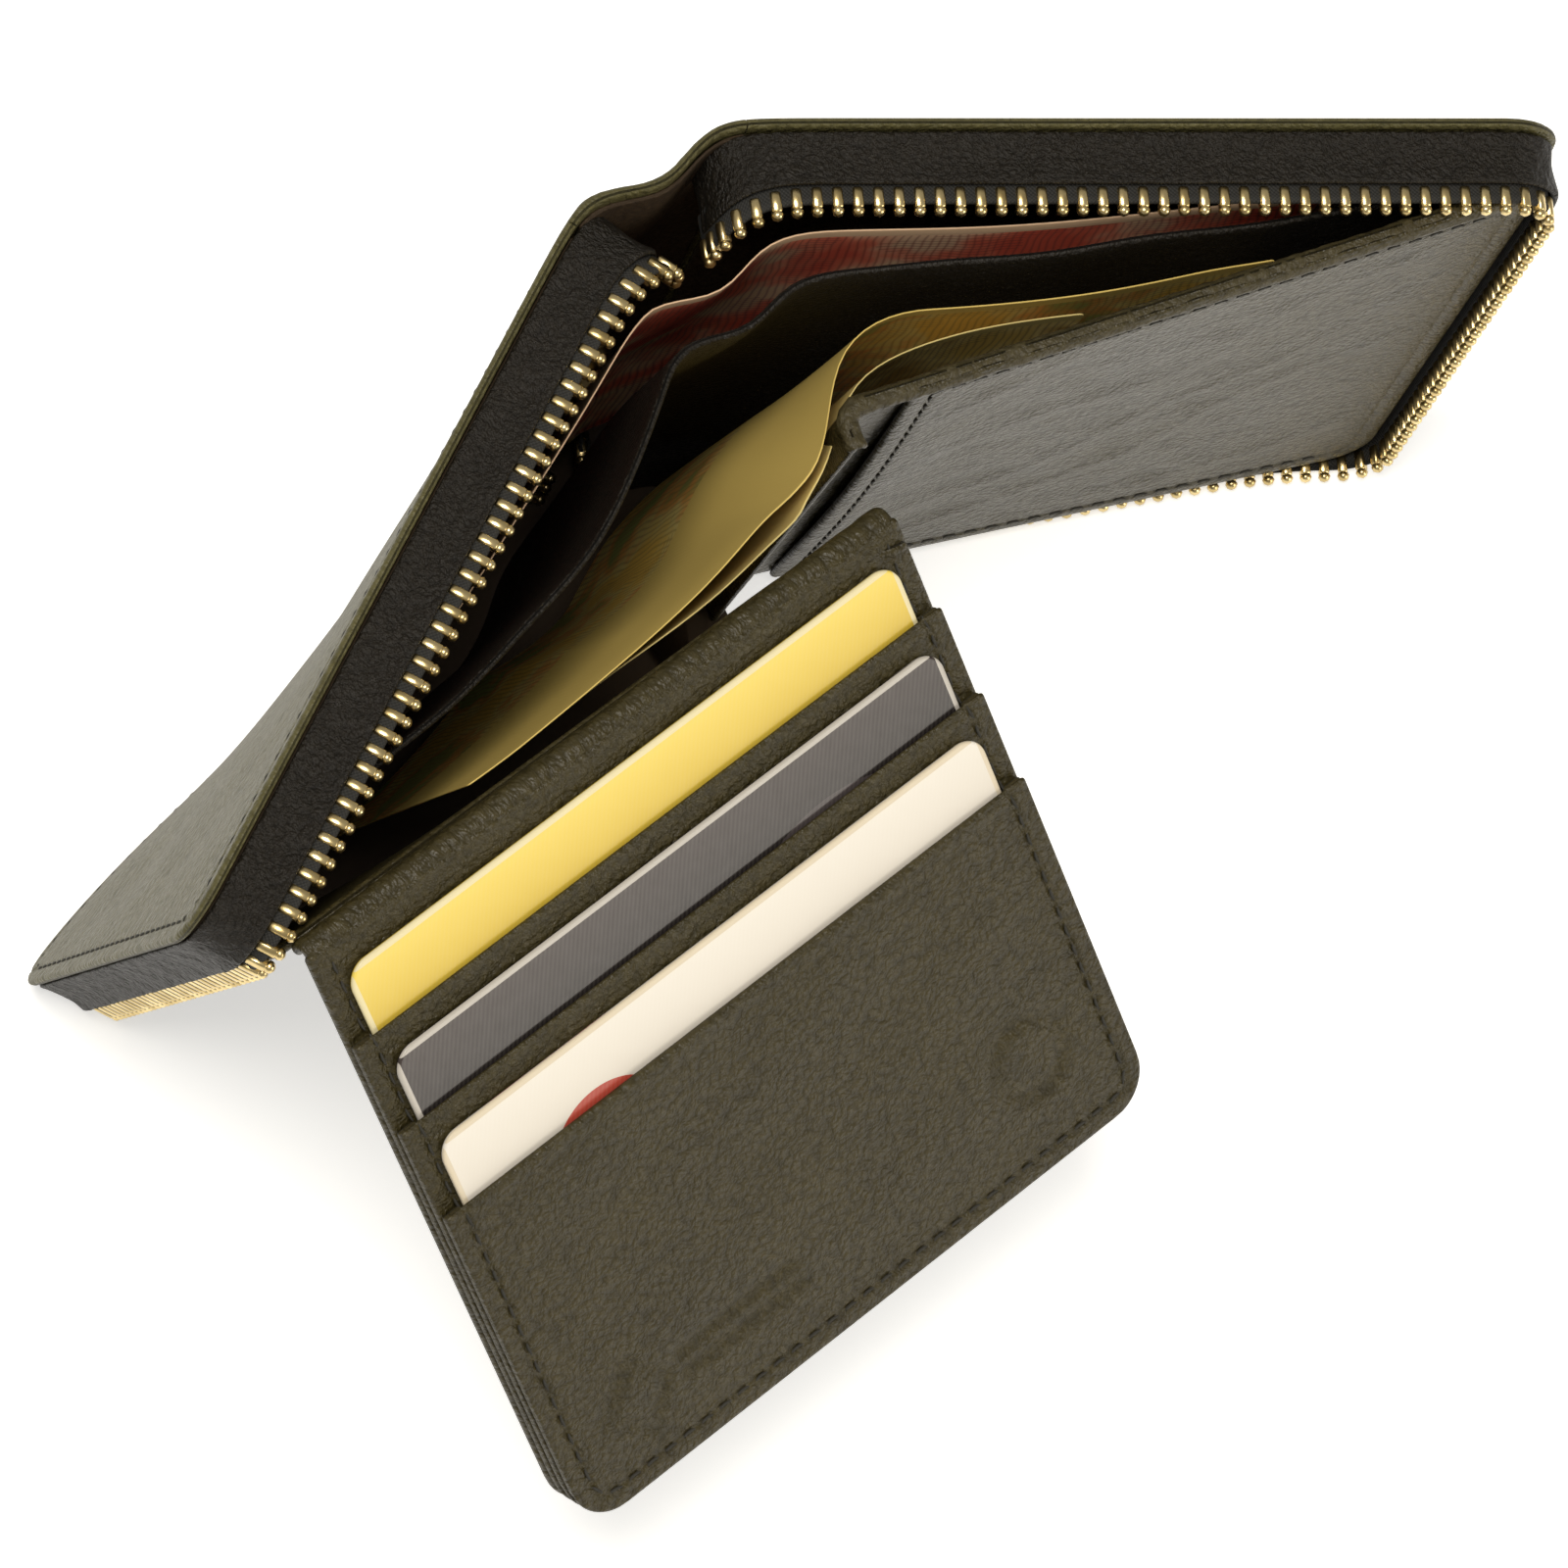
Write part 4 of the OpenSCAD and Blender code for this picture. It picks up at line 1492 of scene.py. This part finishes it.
        piece = self.shop.inner(plate.make("left_panel_leather", place, front))
        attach(piece, Body.PANEL.value)
        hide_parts("left_panel_face", "left_panel_back", "left_panel_edge")
        s = 3.0
        line = np.concatenate([
            np.linspace((91.4, self.height - 6.0), (91.4, s), 50),
            np.linspace((91.4, s), (9.0, s), 60)[1:],
        ])
        path = place(line[:, 0], line[:, 1], np.full(len(line), 0.62))
        across = np.cross(np.gradient(path, axis=0), np.array(PANEL.second))
        self.shop.stitches("left_panel_stitches", path, across, Body.PANEL, "inner_leather")

    def hinge_roll(self) -> None:
        """The leather that runs from the left panel over into the card flap."""
        dip = math.radians(FLAP_DIP)
        out, down = math.cos(dip), math.sin(dip)
        level = 0.8
        begin = (HINGE_OUT + level * down, HINGE_LEVEL + level * out)
        far = (begin[0] + 3.2 * out, begin[1] - 3.2 * down)
        corners = [(0.0, 90.6), (0.0, 94.4), (begin[0] - 0.9 * out, begin[1] + 0.9 * down), far]
        track = Track(bezier(corners, 40))
        plate = Plate(FLAP_WIDTH - 0.8, track.length, 1.7, (0.9, 0.9, 0.9, 0.9), 1.3, 0.7)

        def place(x: Points, y: Points, h: Points) -> Points:
            """Points of the roll."""
            a, b = track.at(y, h)
            return PANEL.at(x + FLAP_NEAR + 0.4, a, b)

        def front(x: Points, y: Points, inset: Points) -> Points:
            """Fine wrinkles along the bend."""
            return 0.06 * np.sin(x * 2.0 * math.pi / 3.3 + 2.5 * ripple(x, y, 85, 12.0))

        piece = self.shop.inner(plate.make("flap_hinge_leather", place, front, front))
        start, end = PANEL.at(48.0, 0.2, 92.5) * MM, PANEL.at(48.0, 3.4, 92.6) * MM
        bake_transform(piece)

    def build(self) -> None:
        """Builds the pocket, the panel and the flap's hinge."""
        self.pocket()
        self.panel()
        self.hinge_roll()


# ---------------------------------------------------------------- card flap and cards
@dataclass
class CardFlap:
    """The flap with its three card slots."""

    shop: Workshop

    @staticmethod
    def outline(inset: float, start: float, count: int, turns: int) -> Track:
        """The line down one side of the flap, along its free edge and up the other side.

        Args:
            inset: Distance inside the flap's edge.
            start: Distance of both ends from the hinge.
            count: Points on each straight stretch.
            turns: Points on each corner.

        Returns:
            The line.
        """
        far = FLAP_LENGTH - FLAP_CORNER
        last = FLAP_WIDTH - FLAP_CORNER
        radius = FLAP_CORNER - inset
        return Track(np.concatenate([
            np.linspace((inset, start), (inset, far), count),
            arc((FLAP_CORNER, far), radius, 180, 90, turns),
            np.linspace((FLAP_CORNER, FLAP_LENGTH - inset), (last, FLAP_LENGTH - inset), count),
            arc((last, far), radius, 90, 0, turns),
            np.linspace((FLAP_WIDTH - inset, far), (FLAP_WIDTH - inset, start), count),
        ]))

    def base(self) -> None:
        """The flap's own two plies."""
        corners = (0.8, 0.8, FLAP_CORNER, FLAP_CORNER)
        plate = Plate(FLAP_WIDTH, FLAP_LENGTH, 2 * FLAP_PLY - 0.1, corners, 1.6, 0.7)

        def place(x: Points, y: Points, h: Points) -> Points:
            """Points of the flap."""
            return FLAP.at(x + FLAP_NEAR, y, FLAP_PLY + h)

        def front(x: Points, y: Points, inset: Points) -> Points:
            """Stitch channel."""
            side = np.minimum(x, FLAP_WIDTH - x)
            return groove(side, STITCH_INSET, 0.16)

        def back(x: Points, y: Points, inset: Points) -> Points:
            """Stitch channel and gentle unevenness of the reverse."""
            side = np.minimum(np.minimum(x, FLAP_WIDTH - x), FLAP_LENGTH - y)
            uneven = 0.1 * ripple(x, y, 91, 22.0) * smooth((side - 3.0) / 10.0)
            return uneven - groove(side, STITCH_INSET, 0.2)

        piece = self.shop.inner(plate.make("flap_leather", place, front, back))
        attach(piece, Body.FLAP.value)
        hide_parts("flap_back", "flap_base")

    def emboss(self, x: Points, y: Points) -> Points:
        """Plain pressed marks on the front slot: a rhombus, a ring and two bars.

        Args:
            x: Distance from the flap's near side.
            y: Distance from the slot's edge.

        Returns:
            How far the marks are pressed in.
        """
        depth = np.zeros(x.shape)
        rhombus = np.abs(x - 13.0) / 4.6 + np.abs(y - 38.0) / 5.6
        depth -= 0.55 * np.exp(-(((rhombus - 1.0) / 0.19) ** 2))
        for row in (36.6, 39.6):
            bar = np.maximum(np.abs(x - 29.0) - 9.0, 0.0) ** 2 + (y - row) ** 2
            depth -= 0.55 * np.exp(-bar / 0.7)
        ring = np.hypot(x - 78.0, y - 34.0)
        depth -= 0.55 * np.exp(-(((ring - 5.2) / 0.85) ** 2))
        return depth

    def slot_sheet(self, i: int, node: str) -> None:
        """One slot's face and the frame that closes its sides and bottom.

        Args:
            i: The slot's number, from the hinge.
            node: The part it stands for.
        """
        edge = slot_edge(i)
        length = FLAP_LENGTH - edge
        fine = 0.75 if i == 2 else 1.7
        plate = Plate(FLAP_WIDTH, length, SLOT_LEATHER, (0.6, 0.6, FLAP_CORNER, FLAP_CORNER), fine, 0.45)
        level = slot_face(i) + SLOT_LEATHER / 2.0

        def place(x: Points, y: Points, h: Points) -> Points:
            """Points of the face."""
            return FLAP.at(x + FLAP_NEAR, y + edge, level + h)

        def front(x: Points, y: Points, inset: Points) -> Points:
            """Turned edge, stitch channel, and the swell over the card."""
            side = np.minimum(np.minimum(x, FLAP_WIDTH - x), length - y)
            lip = 0.10 * np.exp(-(((y - 1.2) / 0.9) ** 2)) - 0.08 * np.exp(-(((y - 2.6) / 0.4) ** 2))
            shape = groove(side, STITCH_INSET, 0.3, 0.4) + lip * smooth(side / 3.0)
            if i < 2:
                return shape
            swell = 0.35 * smooth((side - 3.0) / 10.0)
            uneven = 0.10 * ripple(x, y, 95, 15.0) * smooth((side - 4.0) / 8.0)
            return shape + (swell + uneven) + self.emboss(x, y)

        piece = self.shop.inner(plate.make(node + "_face", place, front))
        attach(piece, Body.FLAP.value)
        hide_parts(node)
        low = 2 * FLAP_PLY if i == 0 else card_level(i) - CARD_GAP
        half = 1.35
        track = self.outline(half + 0.15, edge + 0.3, 30, 10)
        thick = slot_face(i) - low
        welt = Plate(track.length, 2 * half, thick - 0.02, (0.3, 0.3, 0.3, 0.3), 2.0, 0.3)

        def place_welt(x: Points, y: Points, h: Points) -> Points:
            """Points of the frame."""
            a, b = track.at(x, y - half)
            return FLAP.at(a + FLAP_NEAR, b, low + thick / 2.0 + h)

        frame_piece = dress(welt.make(node + "_welt", place_welt), self.shop.finishes.edge)
        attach(frame_piece, Body.FLAP.value)

    def thread(self) -> None:
        """The stitches down both sides and along the free edge, stepping over the slots."""
        line = self.outline(STITCH_INSET, 3.0, 90, 12)
        d = np.linspace(0.0, line.length, 420)
        a, b = line.at(d)
        level = np.full_like(b, 2 * FLAP_PLY)
        for i in range(3):
            level = np.where(b > slot_edge(i) + 0.4, slot_face(i) + SLOT_LEATHER, level)
        path = FLAP.at(a + FLAP_NEAR, b, level - 0.1)
        inner_a, inner_b = line.at(d, 1.0)
        across = FLAP.at(inner_a, inner_b, 0.0) - FLAP.at(a, b, 0.0)
        self.shop.stitches("flap_stitches", path, across, Body.FLAP, "inner_leather")
        back = FLAP.at(a + FLAP_NEAR, b, np.full_like(b, 0.12))
        self.shop.stitches("flap_back_stitches", back, -across, Body.FLAP, "inner_leather")

    def cards(self) -> None:
        """The three cards."""
        finishes = self.shop.finishes
        plans = (
            (Body.CARD_TOP, finishes.card_yellow, "card_yellow"),
            (Body.CARD_MIDDLE, finishes.card_grey, "card_grey"),
            (Body.CARD_FRONT, finishes.card_white, "card_white"),
        )
        for i, (body, material, slot) in enumerate(plans):
            plate = Plate(CARD_WIDTH, CARD_HEIGHT, CARD_THICKNESS - 0.04, (CARD_CORNER,) * 4, 3.0, 0.2)
            left = FLAP_NEAR + (FLAP_WIDTH - CARD_WIDTH) / 2.0
            top = slot_edge(i) - CARD_SHOWS
            level = card_level(i) + CARD_THICKNESS / 2.0

            def place(x: Points, y: Points, h: Points, top: float = top, level: float = level) -> Points:
                """Points of the card."""
                return FLAP.at(x + left, y + top, level + h)

            piece = dress(plate.make(body.value + "_print", place), material)
            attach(piece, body.value)
            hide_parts(body.value)

    def build(self) -> None:
        """Builds the flap, its slots, its stitches and the cards."""
        self.base()
        for i, node in enumerate(("card_slot_top", "card_slot_middle", "card_slot_front")):
            self.slot_sheet(i, node)
        self.thread()
        self.cards()


# ---------------------------------------------------------------- metal parts, floor, lights, camera
def dress_metal(finishes: Finishes) -> None:
    """Gives the slider, its pull and the stops their polished metal."""
    for name in ("slider_body", "slider_bridge", "pull_tab", "zip_bottom_stop"):
        part = frame["nodes"][name]
        part.data.materials.clear()
        part.data.materials.append(finishes.metal)


@dataclass
class Studio:
    """A pale floor, soft lights and the camera."""

    camera_at: tuple[float, float, float] = (-259.9, -381.1, 1198.8)
    azimuth: float = 33.0
    elevation: float = 67.93
    roll: float = 30.27
    lens: float = 233.1
    sensor: float = 36.0

    def floor(self) -> None:
        """A plain pale floor."""
        size = 3000.0
        below = -0.05
        corners = ((-1, -1), (1, -1), (1, 1), (-1, 1))
        points = np.array([(x * size, y * size, below) for x, y in corners])
        piece = write_mesh("floor", points, [(0, 1, 2, 3)], None, False)
        s = Shader("floor_white")
        cloud = s.noise(s.place(), 3.0, 2.0)
        pale = s.mix(cloud, (0.86, 0.86, 0.85), (0.9, 0.9, 0.89))
        s.surface.inputs["Emission Strength"].default_value = 0.6
        piece.data.materials.append(s.finish(Base_Color=pale, Emission_Color=pale, Roughness=0.8))

    def light(self, name: str, at: tuple[float, float, float], size: float, power: float,
              colour: tuple[float, float, float]) -> None:
        """A soft light that faces the wallet."""
        data = bpy.data.lights.new(name, "AREA")
        data.size = size
        data.energy = power
        data.color = colour
        lamp = bpy.data.objects.new(name, data)
        bpy.context.scene.collection.objects.link(lamp)
        towards = -np.array(at) / np.linalg.norm(at)
        side = np.cross(towards, (0.0, 1.0, 0.01))
        side /= np.linalg.norm(side)
        up = np.cross(side, towards)
        turn = Matrix([[side[i], up[i], -towards[i], at[i] * MM] for i in range(3)] + [[0, 0, 0, 1]])
        lamp.matrix_world = turn

    def camera(self) -> None:
        """The camera, above and in front of the open side."""
        a, e, roll = (math.radians(v) for v in (self.azimuth, self.elevation, self.roll))
        ahead = np.array([math.sin(a) * math.cos(e), math.cos(a) * math.cos(e), -math.sin(e)])
        level = np.array([math.cos(a), -math.sin(a), 0.0])
        up = np.cross(level, ahead)
        right = level * math.cos(roll) + up * math.sin(roll)
        top = up * math.cos(roll) - level * math.sin(roll)
        data = bpy.data.cameras.new("view")
        data.sensor_width = self.sensor
        data.lens = self.lens
        data.clip_end = 20.0
        camera = bpy.data.objects.new("view", data)
        bpy.context.scene.collection.objects.link(camera)
        rows = [[right[i], top[i], -ahead[i], self.camera_at[i] * MM] for i in range(3)]
        camera.matrix_world = Matrix(rows + [[0, 0, 0, 1]])
        bpy.context.scene.camera = camera

    def build(self) -> None:
        """Builds the floor, the lights and the camera."""
        self.floor()
        self.camera()
        bpy.context.scene.view_settings.view_transform = "Standard"
        world = bpy.data.worlds.new("room")
        world.use_nodes = True
        background = world.node_tree.nodes["Background"]
        background.inputs["Color"].default_value = (1.0, 0.97, 0.92, 1.0)
        background.inputs["Strength"].default_value = 0.34
        bpy.context.scene.world = world
        self.light("key", (-260.0, -60.0, 1150.0), 0.5, 11.5, (1.0, 0.96, 0.90))
        self.light("sheen", (900.0, -600.0, 420.0), 0.5, 4.5, (1.0, 0.94, 0.84))


def main() -> None:
    """Builds the wallet and the studio."""
    logging.basicConfig(level=logging.INFO, format="%(name)s: %(message)s")
    finishes = Finishes()
    shop = Workshop(finishes, RowTree(), tooth_shape(), stitch_shape())
    Studio().build()
    for part in (Shell(shop), Zip(shop), Contents(shop), InnerPanels(shop), CardFlap(shop)):
        LOG.info("building %s", type(part).__name__)
        part.build()
    dress_metal(finishes)
    for spare in (shop.tooth, shop.stitch):
        bpy.data.objects.remove(spare)


if __name__ == "__main__":
    main()
